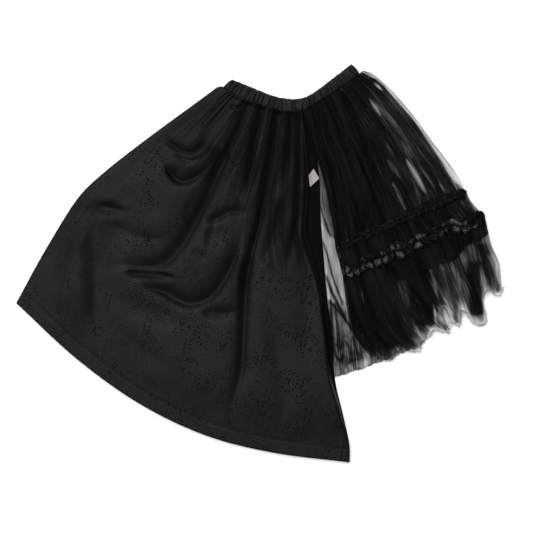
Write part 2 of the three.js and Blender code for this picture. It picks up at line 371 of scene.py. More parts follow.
def shader_group(name, *numbers):
    """A new shader node group with one Place input, the named number inputs, and a Mask output."""
    tree = bpy.data.node_groups.new(name, "ShaderNodeTree")
    tree.interface.new_socket("Place", in_out="INPUT", socket_type="NodeSocketVector")
    for number in numbers:
        tree.interface.new_socket(number, in_out="INPUT", socket_type="NodeSocketFloat")
    tree.interface.new_socket("Mask", in_out="OUTPUT", socket_type="NodeSocketFloat")
    return tree, tree.nodes.new("NodeGroupInput").outputs


def in_own_cell(tree, cells, size):
    """How far a place is from the middle of its own cell, where cells counts equal cells along a line."""
    cell = add(tree, MATH, [cells], operation="FRACT")
    middle = add(tree, MATH, [cell, 0.5], operation="SUBTRACT")
    return add(tree, MATH, [middle, size], operation="MULTIPLY")


leaf, given = shader_group("leaf", "Length", "Width", "Tilt")
turned = add(leaf, "ShaderNodeVectorRotate", {
    "Vector": given["Place"], "Angle": given["Tilt"],
}, rotation_type="Z_AXIS")
size = add(leaf, COMBINE, [given["Length"], given["Width"], 1.0])
half_size = add(leaf, VECTOR_MATH, [size, (0.5, 0.5, 1)], operation="MULTIPLY")
in_leaf = add(leaf, VECTOR_MATH, [turned, half_size], operation="DIVIDE")
reach = add(leaf, VECTOR_MATH, [in_leaf], operation="LENGTH")
inside = add(leaf, MAP_RANGE, {
    "Value": reach.outputs["Value"], "From Min": LEAF_EDGE[0], "From Max": LEAF_EDGE[1],
}, interpolation_type="SMOOTHSTEP")
add(leaf, "NodeGroupOutput", {"Mask": inside})

# %% Node group: ring of leaves
# Round a ring, the angle is cut into equal cells with one leaf in each.


def leaf_at(tree, right, up, given):
    """One leaf at a place in its cell, with the length, width and tilt that the group is given."""
    place = add(tree, COMBINE, [right, up])
    sizes = {number: given[number] for number in ("Length", "Width", "Tilt")}
    return add(tree, "ShaderNodeGroup", {"Place": place, **sizes}, node_tree=leaf)


leaf_ring, given = shader_group("leaf ring", "Leaves", "Radius", "Length", "Width", "Tilt")
spot = add(leaf_ring, "ShaderNodeSeparateXYZ", [given["Place"]])
angle = add(leaf_ring, MATH, [spot.outputs["Y"], spot.outputs["X"]], operation="ARCTAN2")
cell_angle = add(leaf_ring, MATH, [math.tau, given["Leaves"]], operation="DIVIDE")
turns = add(leaf_ring, MATH, [angle, cell_angle], operation="DIVIDE")
arc = add(leaf_ring, MATH, [cell_angle, given["Radius"]], operation="MULTIPLY")
round_it = in_own_cell(leaf_ring, turns, arc)
from_centre = add(leaf_ring, VECTOR_MATH, [given["Place"]], operation="LENGTH")
outward = add(leaf_ring, MATH, [from_centre.outputs["Value"], given["Radius"]], operation="SUBTRACT")
add(leaf_ring, "NodeGroupOutput", {"Mask": leaf_at(leaf_ring, outward, round_it, given)})

# %% Node group: row of leaves
# Along a stem, leaves stand in pairs, one cell to each pair, as far as the row is high.
FROM_STEM = 0.42  # how far a leaf's middle stands from the stem, as a share of its length

leaf_row, given = shader_group("leaf row", "Pitch", "Height", "Length", "Width", "Tilt")
spot = add(leaf_row, "ShaderNodeSeparateXYZ", [given["Place"]])
side = add(leaf_row, MATH, [spot.outputs["X"]], operation="ABSOLUTE")
reach = add(leaf_row, MATH, [given["Length"], FROM_STEM], operation="MULTIPLY")
from_leaf = add(leaf_row, MATH, [side, reach], operation="SUBTRACT")
steps = add(leaf_row, MATH, [spot.outputs["Y"], given["Pitch"]], operation="DIVIDE")
up = in_own_cell(leaf_row, steps, given["Pitch"])
height = add(leaf_row, MATH, [spot.outputs["Y"]], operation="ABSOLUTE")
half_height = add(leaf_row, MATH, [given["Height"], 0.5], operation="MULTIPLY")
on_stem = add(leaf_row, MATH, [height, half_height], operation="LESS_THAN")
kept = add(leaf_row, MATH, [leaf_at(leaf_row, from_leaf, up, given), on_stem], operation="MULTIPLY")
add(leaf_row, "NodeGroupOutput", {"Mask": kept})

# %% What stands in one repeat
# A ring round a rosette, two leafy sprigs, a small ring and two clusters of berries.
Motif = namedtuple("Motif", "kind right up turn sizes")
MOTIFS = [  # where each stands in the repeat, in millimetres, and how many degrees it is turned
    Motif(leaf_ring, 0, 0, 0, {"Leaves": 17, "Radius": 23, "Length": 8, "Width": 2.3, "Tilt": 0.9}),
    Motif(leaf_ring, 0, 0, 9, {"Leaves": 11, "Radius": 16, "Length": 6, "Width": 2.1, "Tilt": -0.8}),
    Motif(leaf_ring, 1, 1, 20, {"Leaves": 5, "Radius": 5, "Length": 6, "Width": 3.2, "Tilt": 0.2}),
    Motif(leaf_row, 41, 8, 14, {"Pitch": 8, "Height": 62, "Length": 12, "Width": 2.2, "Tilt": -0.9}),
    Motif(leaf_row, -31, 43, -38, {"Pitch": 6.5, "Height": 36, "Length": 9, "Width": 2.0, "Tilt": -0.7}),
    Motif(leaf_ring, 26, -41, 0, {"Leaves": 7, "Radius": 8.5, "Length": 7, "Width": 2.6, "Tilt": 0.5}),
    Motif(leaf_ring, 33, -26, 30, {"Leaves": 3, "Radius": 3.4, "Length": 5, "Width": 4.2, "Tilt": 0.6}),
    Motif(leaf_ring, -35, 17, 0, {"Leaves": 3, "Radius": 3.0, "Length": 4.5, "Width": 4.0, "Tilt": -0.5}),
]

# %% Node group: the half drop
# Columns are 84 mm apart, and a column repeats every 96 mm, which a loom for dress silks can weave.
REPEAT_ACROSS = 84
REPEAT_DOWN = 96

half_drop, given = shader_group("half drop repeat", "Right", "Up", "Turn")
half_drop.interface.items_tree["Mask"].socket_type = "NodeSocketVector"
spot = add(half_drop, "ShaderNodeSeparateXYZ", [given["Place"]])
moved_x = add(half_drop, MATH, [spot.outputs["X"], given["Right"]], operation="SUBTRACT")
moved_y = add(half_drop, MATH, [spot.outputs["Y"], given["Up"]], operation="SUBTRACT")
columns = add(half_drop, MATH, [moved_x, REPEAT_ACROSS], operation="DIVIDE")
column = add(half_drop, MATH, [columns], operation="FLOOR")
drop = add(half_drop, MATH, [column, 0.5], operation="MULTIPLY")
rows = add(half_drop, MATH, [moved_y, REPEAT_DOWN], operation="DIVIDE")
dropped = add(half_drop, MATH, [rows, drop], operation="ADD")
across_cell = in_own_cell(half_drop, columns, REPEAT_ACROSS)
down_cell = in_own_cell(half_drop, dropped, REPEAT_DOWN)
in_repeat = add(half_drop, COMBINE, [across_cell, down_cell])
upright = add(half_drop, "ShaderNodeVectorRotate", {
    "Vector": in_repeat, "Angle": given["Turn"],
}, rotation_type="Z_AXIS")
add(half_drop, "NodeGroupOutput", {"Mask": upright})

# %% Material: woven satin jacquard
# Satin mirrors softly, so it is dark in itself with a broad gleam. The figure is rougher, so it
# loses that gleam. The real threads are 0.1 mm apart, too fine to show, so the slight slanting
# line of the twill is drawn 2.3 mm apart.
SATIN_GLEAM = 0.105
GROUND_ROUGHNESS = 0.34
FIGURE_ROUGHNESS = 0.9
GROUND_BLACK = "#0c0c0e"
# The figure's black, which is also the painted shade of crushed and creased satin.
FIGURE_AND_SHADE_BLACK = "#020203"
WAVE_SCALE = math.tau / 20  # a Wave texture of this scale has one straight band in each unit
TWILL_MM = 1.6  # half the step along a thread, which puts the slanting lines 2.3 mm apart
SWAY_MM, SWAY_SIZE_MM = 9.0, 60  # how far the cloth's skew moves the figure, and over what distance
WAVER_MM, WAVER_SIZE_MM = 2.2, 7  # the same for the small unevenness of the weave
RELIEF = 1.2 * MM


def moved_by_noise(tree, place, at, distance, size):
    """A place in millimetres moved up to a distance by a noise with the given size of blotch."""
    noise = add(tree, NOISE, {"Vector": at, "Scale": 1 / size, "Detail": 1.0})
    shift = add(tree, VECTOR_MATH, {0: noise.outputs["Color"], 3: distance}, operation="SCALE")
    return add(tree, VECTOR_MATH, [place, shift], operation="ADD")


woven_jacquard, tree, satin_skin = new_material("woven satin jacquard", GROUND_ROUGHNESS, SATIN_GLEAM)
cloth_map = add(tree, "ShaderNodeUVMap", uv_map="UVMap")
in_mm = add(tree, VECTOR_MATH, {0: cloth_map, 3: 1 / MM}, operation="SCALE")
swayed = moved_by_noise(tree, in_mm, in_mm, SWAY_MM, SWAY_SIZE_MM)
place = moved_by_noise(tree, swayed, in_mm, WAVER_MM, WAVER_SIZE_MM)
figure = 0.0
for motif in MOTIFS:
    here = add(tree, "ShaderNodeGroup", {
        "Place": place, "Right": motif.right, "Up": motif.up, "Turn": math.radians(motif.turn),
    }, node_tree=half_drop)
    shape = add(tree, "ShaderNodeGroup", {"Place": here, **motif.sizes}, node_tree=motif.kind)
    figure = add(tree, MATH, [figure, shape], operation="MAXIMUM")
print("jacquard figure:", len(MOTIFS), "motifs in a repeat of", REPEAT_ACROSS, "by", REPEAT_DOWN, "mm")

# %% How clearly each leaf shows
# Some leaves catch less light than others, so the figure comes and goes over the cloth: this is painted
# light, drawn as a figure of uneven strength. It is faintest at the pointed end, and it is lost under the
# painted shade wherever the cloth is crushed.
patchy = add(tree, NOISE, {"Vector": in_mm, "Scale": 1 / 60, "Detail": 3.0})
clear = add(tree, MAP_RANGE, {
    "Value": patchy, "From Min": 0.36, "From Max": 0.6, "To Min": 0.1, "To Max": 1.1,
})
spot = add(tree, "ShaderNodeSeparateXYZ", [in_mm])
near_point = add(tree, MAP_RANGE, {
    "Value": spot.outputs["X"], "From Min": -380, "From Max": 60, "To Min": 0.65, "To Max": 1.05,
})
fitful = add(tree, MATH, [clear, near_point], operation="MULTIPLY")
single = add(tree, NOISE, {"Vector": in_mm, "Scale": 1 / 11, "Detail": 2.0})
strength = add(tree, MAP_RANGE, {
    "Value": single, "From Min": 0.4, "From Max": 0.6, "To Min": 0.3, "To Max": 1.45,
})
# Painted light: how much light each leaf catches, as the strength of its figure.
figure_light = add(tree, MATH, [fitful, strength], operation="MULTIPLY")
leaves = add(tree, MATH, [figure, figure_light], operation="MULTIPLY")
grain = add(tree, NOISE, {"Vector": in_mm, "Scale": 1 / 3.5, "Detail": 2.0})
speck = add(tree, MAP_RANGE, {"Value": grain, "From Min": 0.5, "From Max": 0.8, "To Max": 0.6})
flecked = add(tree, MATH, [leaves, speck], operation="MAXIMUM")
# Painted shade: the crushed mark turns the satin to the figure's darker black and rougher finish in the
# creases and gathered parts.
painted_shade = add(tree, "ShaderNodeAttribute", attribute_name="crushed")
woven = add(tree, MATH, [flecked, painted_shade.outputs["Fac"]], operation="MAXIMUM")

# %% From the figure to colour, gloss and relief
colour = add(tree, "ShaderNodeMix", {
    0: woven, TINT_A: linear(GROUND_BLACK), TINT_B: linear(FIGURE_AND_SHADE_BLACK),
}, data_type="RGBA")
rough = add(tree, MAP_RANGE, {"Value": woven, "To Min": GROUND_ROUGHNESS, "To Max": FIGURE_ROUGHNESS})
twill = add(tree, "ShaderNodeTexWave", {
    "Vector": in_mm, "Scale": WAVE_SCALE / TWILL_MM, "Distortion": 1.5, "Detail": 1.0,
}, bands_direction="DIAGONAL")
floats = add(tree, NOISE, {"Vector": in_mm, "Scale": 0.9, "Detail": 0.0})
crossed = add(tree, MATH, [floats, woven], operation="MULTIPLY")
relief = add(tree, MATH, [twill, 0.04, crossed], operation="MULTIPLY_ADD")
bump = add(tree, "ShaderNodeBump", {"Strength": 1.0, "Distance": RELIEF, "Height": relief})
fill(satin_skin, {"Base Color": colour.outputs[TINT], "Roughness": rough, "Normal": bump})

# %% Material: wrong side of the jacquard
# Seen from behind, the satin's long threads are on the other face, so this side is dull.
wrong_side, tree, skin = new_material("wrong side of the jacquard", 0.75, 0.03)
cloth_map = add(tree, "ShaderNodeUVMap", uv_map="UVMap")
fleck = add(tree, NOISE, {"Vector": cloth_map, "Scale": 1 / (6 * MM), "Detail": 3.0})
tone = add(tree, "ShaderNodeMix", {
    0: fleck, TINT_A: linear("#030304"), TINT_B: linear("#0b0b0c"),
}, data_type="RGBA")
fill(skin, {"Base Color": tone.outputs[TINT]})

# %% [markdown]
# ## Pattern pieces
#
# The outlines are the ones that the skirt was cut and built to, in millimetres on the floor. They match the
# imported model's own pieces, and the printed offset of the front panel shows by how much.

# %% Outlines
WAIST_TOP = [(-61, 383), (-8, 361), (35, 345), (78, 341), (103, 348), (162, 390), (195, 416)]
WAIST_SEAM = [
    (-78, 370), (-57, 353), (-2, 332), (36, 321), (64, 317), (91, 321), (134, 346), (185, 380), (210, 398),
]
SIDE_SEAM = [(-88, 369), (-99, 361.6), (-126, 342), (-242, 257), (-326, 191), (-376.5, 143), (-444, 38)]
JACQUARD_HEM = [(-511, -84), (-378, -206), (-244, -300), (-109, -363), (25, -397), (188, -418)]
SLIT_FRONT = [
    (99, 220), (102, 153), (97, 69), (124, -36), (139, -141), (149, -233), (172, -317), (187, -384),
]
SLIT_BACK = [(121, 210), (128, 88), (143, -90), (152, -162), (158, -248), (174, -317), (188, -384)]

SEAM_GAP = 0.3 * MM
JACQUARD_SHARE = 0.55  # of the waistband
waist_top = smooth_line(WAIST_TOP)
waist_line = smooth_line(WAIST_SEAM)
waist_seam = beside(waist_line, -SEAM_GAP)
hemline = smooth_line(JACQUARD_HEM)
print("waistband:", round(np.linalg.norm(np.diff(waist_line, axis=0), axis=1).sum(), 3), "m, relaxed")

# %% Heights
# How far above the floor the underside of each layer lies, from the back of the skirt up.
BACK_WALL = 1.2 * MM
HEM_WALL = 1.0 * MM
HEM_BACK_Z = BACK_WALL + SEAM_GAP
HEM_FRONT_Z = HEM_BACK_Z + HEM_WALL + SEAM_GAP
OVER_HEM_Z = HEM_FRONT_Z + HEM_WALL + SEAM_GAP
SIDE_SEAM_Z = BACK_WALL + SEAM_GAP
TULLE_BACK_Z = 1.5 * MM
UNDERLAYER_Z = 3.0 * MM
TULLE_FRONT_Z = 4.5 * MM
BAND_WALL = 3.0 * MM
BAND_FRONT_Z = BAND_WALL + SEAM_GAP
LOFT = 15 * MM
print("outer tulle lies", round(TULLE_FRONT_Z / MM, 1), "mm up")
print("the jacquard's middle lies", round(LOFT / MM), "mm up")

# %% [markdown]
# ## Folds of the jacquard front
#
# Gathering at the band and laying the panel down leave about thirty folds and dips. A cloth simulation would
# make folds too, but of its own choosing. These ones lie where hands smoothed the skirt, so each is placed
# one by one and no two are alike.
#
# A fold is a trough along a short line. It is seldom the same on both sides: one side is steep, with
# the cloth rolled up beside it, and the other falls away gently. A positive lean puts the steep side
# on the left of the line's direction.

# %% Table of folds
Fold = namedtuple("Fold", "name depth half ridge lean crisp start line")
# Depth and half width are in millimetres, and ridge is how far the cloth rolls up beside the trough.
# Crisp is 1 for a sharp crease and 2 for a soft dip. Start is the share of the line over which the
# fold grows to its full depth, and 0 where it is sewn into the band.
FOLDS = [
    Fold("end gather", 5, 10, 0.4, 0.2, 1.3, 0.0, [
        (-54, 350), (-62, 338), (-86, 306), (-108, 277), (-128, 240),
    ]),
    Fold("gather 1", 10, 9, 0.3, 0.5, 1.15, 0.0, [
        (-22, 336), (-36, 304), (-44, 279), (-57, 254), (-69, 227), (-84, 195), (-104, 150),
    ]),
    Fold("gather 2", 10, 10, 0.2, 0.55, 1.15, 0.0, [
        (4, 324), (2, 302), (-4, 279), (-9, 254), (-13, 227), (-18, 185), (-28, 130),
    ]),
    Fold("long gather", 12, 9, 0.2, 0.3, 1.1, 0.0, [
        (38, 316), (35, 300), (32, 279), (28, 254), (24, 227), (17, 185), (9, 132), (-1, 80), (-15, 27),
        (-26, -20), (-34, -70), (-40, -120),
    ]),
    Fold("long hollow", 9, 15, 0.0, 0.6, 1.2, 0.25, [
        (50, 150), (46, 111), (38, 80), (27, 48), (14, 17), (0, -20),
    ]),
    Fold("low hollow", 11, 13, 0.1, 0.35, 1.2, 0.1, [
        (-16, 20), (-26, -20), (-30, -78), (-32, -120), (-34, -160), (-38, -225), (-47, -260),
        (-56, -298), (-64, -340),
    ]),
    Fold("gather 3", 9, 10, 0.2, 0.55, 1.15, 0.0, [
        (68, 314), (67, 279), (66, 254), (61, 227), (56, 195), (46, 140),
    ]),
    Fold("gather 4", 9, 8, 0.2, 0.4, 1.15, 0.0, [
        (87, 316), (86, 304), (85, 254), (84, 195), (81, 153), (81, 111), (74, 59), (61, 6), (54, -36),
    ]),
    Fold("edge gather", 3, 5, 0.4, 0.0, 1.2, 0.0, [(95, 315), (99, 285), (104, 250), (105, 215)]),
    Fold("upper V", 7, 7, 0.3, -0.3, 1.2, 0.3, [
        (-220, 264), (-189, 249), (-168, 236), (-145, 230), (-130, 236), (-113, 255), (-97, 280),
    ]),
    Fold("lower V", 5, 6, 0.2, -0.3, 1.3, 0.3, [
        (-185, 227), (-164, 218), (-147, 213), (-130, 217), (-111, 234),
    ]),
    Fold("basin", 12, 11, 0.15, -0.6, 1.15, 0.3, [
        (-202, 212), (-188, 187), (-168, 170), (-142, 174), (-119, 191), (-98, 210),
    ]),
    Fold("sweep", 15, 19, 0.3, 0.6, 1.1, 0.06, [
        (-67, 237), (-82, 206), (-90, 181), (-101, 153), (-120, 113), (-139, 78), (-153, 50),
        (-174, 23), (-197, 0), (-227, -8), (-256, -7), (-281, -5), (-311, -8), (-345, -18),
    ]),
    Fold("dent", 11, 8, 0.2, 0.0, 1.4, 0.3, [
        (-292, -22), (-252, -23), (-231, -24), (-200, -27), (-168, -36),
    ]),
    Fold("cup", 15, 15, 0.25, -0.55, 1.1, 0.2, [
        (-260, -48), (-227, -54), (-200, -62), (-176, -76), (-150, -86), (-120, -81), (-97, -67),
        (-81, -46), (-66, -20), (-54, 6), (-45, 34), (-39, 59), (-31, 90),
    ]),
    Fold("cup end", 8, 14, 0.0, -0.3, 1.5, 0.3, [(-130, -98), (-100, -106), (-70, -108), (-40, -96)]),
    Fold("side top", 5, 13, 0.0, 0.0, 2.0, 0.15, [(-384, 104), (-346, 113), (-311, 113), (-280, 104)]),
    Fold("hip crease", 6, 13, 0.3, 0.0, 1.5, 0.12, [
        (-398, 130), (-350, 122), (-316, 114), (-284, 108), (-258, 106),
    ]),
    Fold("hip hollow", 7, 26, 0.0, 0.3, 1.2, 0.3, [
        (-330, 96), (-292, 72), (-255, 56), (-215, 50), (-180, 62),
    ]),
    Fold("side drop", 8, 30, 0.0, -0.3, 2.0, 0.25, [
        (-352, 130), (-346, 60), (-342, 0), (-340, -70), (-338, -118), (-328, -165), (-312, -205),
    ]),
    Fold("side crest", -5, 30, 0.0, 0.0, 2.0, 0.25, [
        (-398, 120), (-392, 60), (-390, 0), (-388, -70), (-384, -130), (-370, -180),
    ]),
    Fold("outer drop", 5, 28, 0.0, -0.4, 2.0, 0.3, [(-412, 70), (-420, 20), (-432, -30), (-440, -80)]),
    Fold("inner crease", 8, 11, 0.2, -0.5, 1.3, 0.25, [
        (-120, 80), (-103, 86), (-86, 93), (-71, 102), (-53, 107), (-34, 104), (-16, 106),
    ]),
    Fold("inner dip", 5, 26, 0.0, 0.0, 2.0, 0.35, [(-120, 66), (-90, 58), (-60, 52)]),
    Fold("nick", 3, 7, 0.3, 0.0, 1.4, 0.3, [(-145, 29), (-126, 15), (-110, 0)]),
    Fold("low dip left", 5, 26, 0.0, 0.0, 2.0, 0.35, [
        (-300, -60), (-250, -98), (-190, -116), (-130, -132),
    ]),
    Fold("low dip right", 4.5, 20, 0.0, 0.3, 2.0, 0.35, [(92, 40), (100, -60), (98, -160), (108, -260)]),
    Fold("hem dip", 4.5, 24, 0.0, 0.0, 2.0, 0.35, [(24, -90), (38, -180), (52, -280), (46, -360)]),
    Fold("side swell", 3, 22, 0.0, 0.0, 2.0, 0.35, [(-300, -130), (-250, -180), (-180, -230)]),
    Fold("band loop left", 5, 4, 1.0, 0.0, 1.4, 0.2, [(-62, 331), (-53, 325), (-42, 326), (-34, 333)]),
    Fold("band loop middle", 4, 4, 1.0, 0.0, 1.4, 0.2, [(-22, 330), (-16, 322), (-6, 322)]),
    Fold("band loop right", 4, 5, 1.0, 0.0, 1.4, 0.2, [(41, 308), (47, 298), (55, 302)]),
]
print("folds and dips:", len(FOLDS))

# %% Shape of one fold
FADE_OUT = 0.4  # share of a fold's line over which it dies away
LINE_STEPS = 48


def nearest_on(line, x, y):
    """For each x, y: the distance to a line, its sign (+ on the left), and the share along it."""
    best = np.full(x.shape, np.inf)
    signed, share = np.zeros(x.shape), np.zeros(x.shape)
    for k in range(len(line) - 1):
        (ax, ay), (bx, by) = line[k], line[k + 1]
        dx, dy = bx - ax, by - ay
        t = np.clip(((x - ax) * dx + (y - ay) * dy) / (dx * dx + dy * dy), 0, 1)
        gap_x, gap_y = x - ax - t * dx, y - ay - t * dy
        distance = np.hypot(gap_x, gap_y)
        closer = distance < best
        best = np.where(closer, distance, best)
        signed = np.where(closer, np.where(dx * gap_y - dy * gap_x > 0, distance, -distance), signed)
        share = np.where(closer, (k + t) / (len(line) - 1), share)
    return signed, share


def fold_strength(fold, share):
    """How fully the fold is formed, from 0 to 1, at each share of its length."""
    fade_in = smooth(share / fold.start) if fold.start else 1
    return fade_in * smooth((1 - share) / FADE_OUT)


def fold_height(fold, x, y):
    """How far one fold moves the cloth: down in its trough, and a little up beside its steep side."""
    signed, share = nearest_on(smooth_line(fold.line, LINE_STEPS), x, y)
    strength = fold_strength(fold, share)
    steepness = np.sign(signed) * fold.lean
    half = fold.half * MM * (0.5 + 0.5 * strength)
    reach = half * np.where(steepness > 0, 1 - 0.8 * steepness, 1 - 1.1 * steepness)
    trough = np.exp(-((np.abs(signed) / reach) ** fold.crisp))
    beside_it = np.exp(-(((np.abs(signed) - 1.5 * reach) / (1.3 * half)) ** 2))
    roll = beside_it * (1 - trough) * (1 + steepness)
    return MM * strength * (fold.ridge * roll - fold.depth * trough)


# %% How the front panel lies
# The panel swells up from the side seam, stays about 15 mm up on its trapped air, and comes down
# to the hem. Fine puckers run down from the band and die away within a hand's breadth.
EASE = 0.1  # share of the width over which the panel rises from the side seam
PUCKERS = 17
PUCKER_RISE = 1.1 * MM
PUCKER_REACH = 45 * MM
HEM_DEPTH = 28 * MM
SEWN_IN = 1.2 * MM  # how deep the hem's stitches pull the cloth in
SEWN_WIDTH = 2.4 * MM
HELD_BY_BAND = 8 * MM  # the folds only start this far below the waist seam
RIPPLES = [(0.9, 62, 11), (0.45, 27, 12), (1.5, 130, 13)]  # rise and distance in millimetres, and seed

slit_top = stretch(waist_seam, 0, JACQUARD_SHARE)[-1] / MM
slit_line = smooth_line([tuple(slit_top), *SLIT_FRONT, JACQUARD_HEM[-1]])


def rest_on(height, lowest, softness=1.5 * MM):
    """The higher of two heights, with the corner between them rounded."""
    return 0.5 * (height + lowest + np.sqrt((height - lowest) ** 2 + softness**2)) - 0.15 * softness


def brought_down_at_slit(height, lofted, x, y):
    """Lets the free edge beside the slit come down onto the tulle."""
    to_slit, _ = nearest_on(slit_line[::8], x, y)
    width = mix(20, 9, smooth((40 - y / MM) / 120)) * MM
    away = smooth(np.abs(to_slit) / width)
    edge = mix(TULLE_FRONT_Z, lofted, away)
    return np.minimum(height, mix(edge, height, away))


# %% Height of the front panel


def jacquard_height(u, v, x, y):
    """The height of the front panel's underside."""
    seat = mix(BAND_FRONT_Z + 1 * MM, SIDE_SEAM_Z, smooth(v / 0.08))
    seat = mix(seat, OVER_HEM_Z, smooth((v - 0.78) / 0.12))
    lofted = mix(LOFT, OVER_HEM_Z, smooth((v - 0.8) / 0.2))
    risen = mix(seat, lofted, smooth(u / EASE))
    folds = sum(fold_height(fold, x, y) for fold in FOLDS)
    ripple = sum(rise * MM * uneven(x, y, size * MM, seed) for rise, size, seed in RIPPLES)
    signed, _ = nearest_on(stretch(waist_seam, 0, JACQUARD_SHARE)[::8], x, y)
    from_band = np.abs(signed)
    held = smooth(u / EASE) * smooth(from_band / HELD_BY_BAND)
    wobble = 0.9 * uneven(u * 9, v * 3, 1, 3)
    puckers = np.sin(math.tau * (PUCKERS * u + wobble)) * np.exp(-from_band / PUCKER_REACH)
    stitched, _ = nearest_on(beside(hemline, HEM_DEPTH)[::8], x, y)
    hem_line = -SEWN_IN * np.exp(-((stitched / SEWN_WIDTH) ** 2))
    height = risen + held * (folds + ripple) + PUCKER_RISE * puckers * smooth(u / 0.03) + hem_line
    height = brought_down_at_slit(height, lofted, x, y)
    return rest_on(height, np.where(u > 0.8, np.maximum(seat, TULLE_FRONT_Z), seat))


# %% Where the satin is crushed, and its painted shade
# Where many gathers meet, the satin is crushed: it is rougher and loses its even gleam, and its colour is
# darkened there with painted shade. The painted shade is darkest along the steep side of the sharp folds,
# where the cloth is pinched and the crease lies in shadow.
ShadePatch = namedtuple("ShadePatch", "middle across down amount")
SHADED_PATCHES = [
    ShadePatch((32, 265), 115, 85, 0.58), ShadePatch((48, 130), 90, 110, 0.58), ShadePatch((62, 20), 60, 55, 0.38),
    ShadePatch((-45, 190), 45, 60, 0.25), ShadePatch((-94, 108), 60, 30, 0.2), ShadePatch((-157, 292), 84, 52, 0.3),
    ShadePatch((-300, 60), 150, 110, 0.14), ShadePatch((-400, 40), 60, 90, 0.15), ShadePatch((-108, 205), 30, 55, 0.4),
    ShadePatch((-155, 125), 52, 36, 0.25), ShadePatch((-44, -25), 26, 50, 0.45), ShadePatch((-84, -98), 36, 18, 0.45),
    ShadePatch((-120, 0), 60, 60, 0.15), ShadePatch((-90, 322), 50, 30, 0.3), ShadePatch((-140, 240), 50, 28, 0.22),
    ShadePatch((-350, 118), 46, 16, 0.25),
]
# How strongly painted shade darkens each fold along its steep side.
CREASE_SHADE = {
    "gather 1": 0.55, "gather 2": 0.85, "long gather": 0.9, "gather 3": 0.85, "gather 4": 0.95,
    "long hollow": 0.5, "low hollow": 0.85, "sweep": 0.55, "cup": 0.55, "basin": 0.5, "dent": 0.4,
    "upper V": 0.4, "inner crease": 0.5,
}
NARROWEST_CREASE_SHADE = 8  # millimetres


def crush_and_shade_share(u, v, x, y):
    """From 0 where the satin lies smooth and unshaded to 1 where it is most crushed and darkest with painted
    shade, in streaks down the cloth.
    """
    unshaded_share = np.ones(x.shape)
    for painted_shade in SHADED_PATCHES:
        off_x = (x / MM - painted_shade.middle[0]) / painted_shade.across
        off_y = (y / MM - painted_shade.middle[1]) / painted_shade.down
        unshaded_share = unshaded_share * (1 - painted_shade.amount * np.exp(-(off_x**2) - off_y**2))
    streak = 0.6 * uneven(u * 60, v * 5, 1, 21) + 0.5 * uneven(u * 130, v * 9, 1, 22)
    shade_amount = (1 - unshaded_share) * (1 + streak)
    for fold in (fold for fold in FOLDS if fold.name in CREASE_SHADE):
        signed, share = nearest_on(smooth_line(fold.line, LINE_STEPS), x, y)
        steep_side = -np.sign(fold.lean) * (5 + 0.35 * fold.half) * MM
        width = max(NARROWEST_CREASE_SHADE, 0.75 * fold.half) * MM
        fold_shade = np.exp(-(((signed - steep_side) / width) ** 2)) * fold_strength(fold, share)
        shade_amount = np.maximum(shade_amount, shade_amount + CREASE_SHADE[fold.name] * fold_shade * (1 - 0.5 * shade_amount))
    return np.clip(shade_amount, 0, 1)


# %% [markdown]
# ## The two panels of jacquard and their hems
#
# The front panel is the one that is looked at, so its grid is fine enough to hold every fold. The
# back panel is cut alike and lies flat under it. Each hem is the panel's own edge turned up once.
# A panel could be one closed shape with its hem, but as sheets of their own the pieces can each be cut and
# finished the way that a maker handles them.

# %% The jacquard front
JACQUARD_CLOTH = 0.9 * MM
JACQUARD_WALL = 1.4 * MM
GATHERED_IN = 0.4  # how much wider the cloth is than the plan, at the band
GATHERED_DOWN_TO = 0.45
GATHER_CENTRE = 20 * MM

front_top = stretch(waist_seam, 0, JACQUARD_SHARE)
u, v = grid(205, 230)
plan = patch(front_top, hemline, SIDE_SEAM, SLIT_FRONT)(u, v)
x, y = plan[..., 0], plan[..., 1]
height = jacquard_height(u, v, x, y) + JACQUARD_WALL
places = np.concatenate([plan, height[..., None]], axis=-1)
# Gathering draws the figure together near the band, so the cloth map is wider than the plan there.
gathered = 1 + GATHERED_IN * (1 - smooth(v / GATHERED_DOWN_TO))
cloth_uv = np.stack([(x - GATHER_CENTRE) * gathered, y], axis=-1)
# The crushed mark carries the painted shade of the creases and gathers.
jacquard_front = cloth_sheet("jacquard_front_cloth", places, woven_jacquard, cloth_uv, JACQUARD_CLOTH,
                             crushed=crush_and_shade_share(u, v, x, y))
dress(jacquard_front, ["jacquard_front"])
low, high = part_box("jacquard_front")
print("front against its node:", [round(float(plan[..., k].min() - low[k]) / MM, 1) for k in (0, 1)], "mm")

# %% The jacquard back
# Only a dark strip of the back shows, past the front's free edge. The rest lies flat and plain.
u, v = grid(90, 90)
plan = patch(front_top, hemline, SIDE_SEAM, SLIT_BACK)(u, v)
lift = np.full(u.shape, BACK_WALL) + 0.15 * MM * uneven(plan[..., 0], plan[..., 1], 30 * MM, 5)
places = np.concatenate([plan, lift[..., None]], axis=-1)
jacquard_back = cloth_sheet("jacquard_back_cloth", places, wrong_side, None, JACQUARD_CLOTH)
dress(jacquard_back, ["jacquard_back"])

# %% The two turned-up hems
# Each hem is the panel's own edge, folded under once: a strip as deep as the hem, along the hemline.
HEM_CLOTH = 0.8 * MM
HEM_SET_BACK = 0.8 * MM
HEM_ENDS = (0.03, 0.965)

for node, underside in (("hem_front", HEM_FRONT_Z), ("hem_back", HEM_BACK_Z)):
    t, across = grid(160, 4)
    t = mix(*HEM_ENDS, t)
    inner = along(beside(hemline, HEM_DEPTH + HEM_SET_BACK), t)
    plan = mix(inner, along(beside(hemline, HEM_SET_BACK), t), across[..., None])
    lift = np.full(t.shape, underside + HEM_WALL)[..., None]
    hem = cloth_sheet(node + "_cloth", np.concatenate([plan, lift], axis=-1), wrong_side, None, HEM_CLOTH)
    dress(hem, [node])

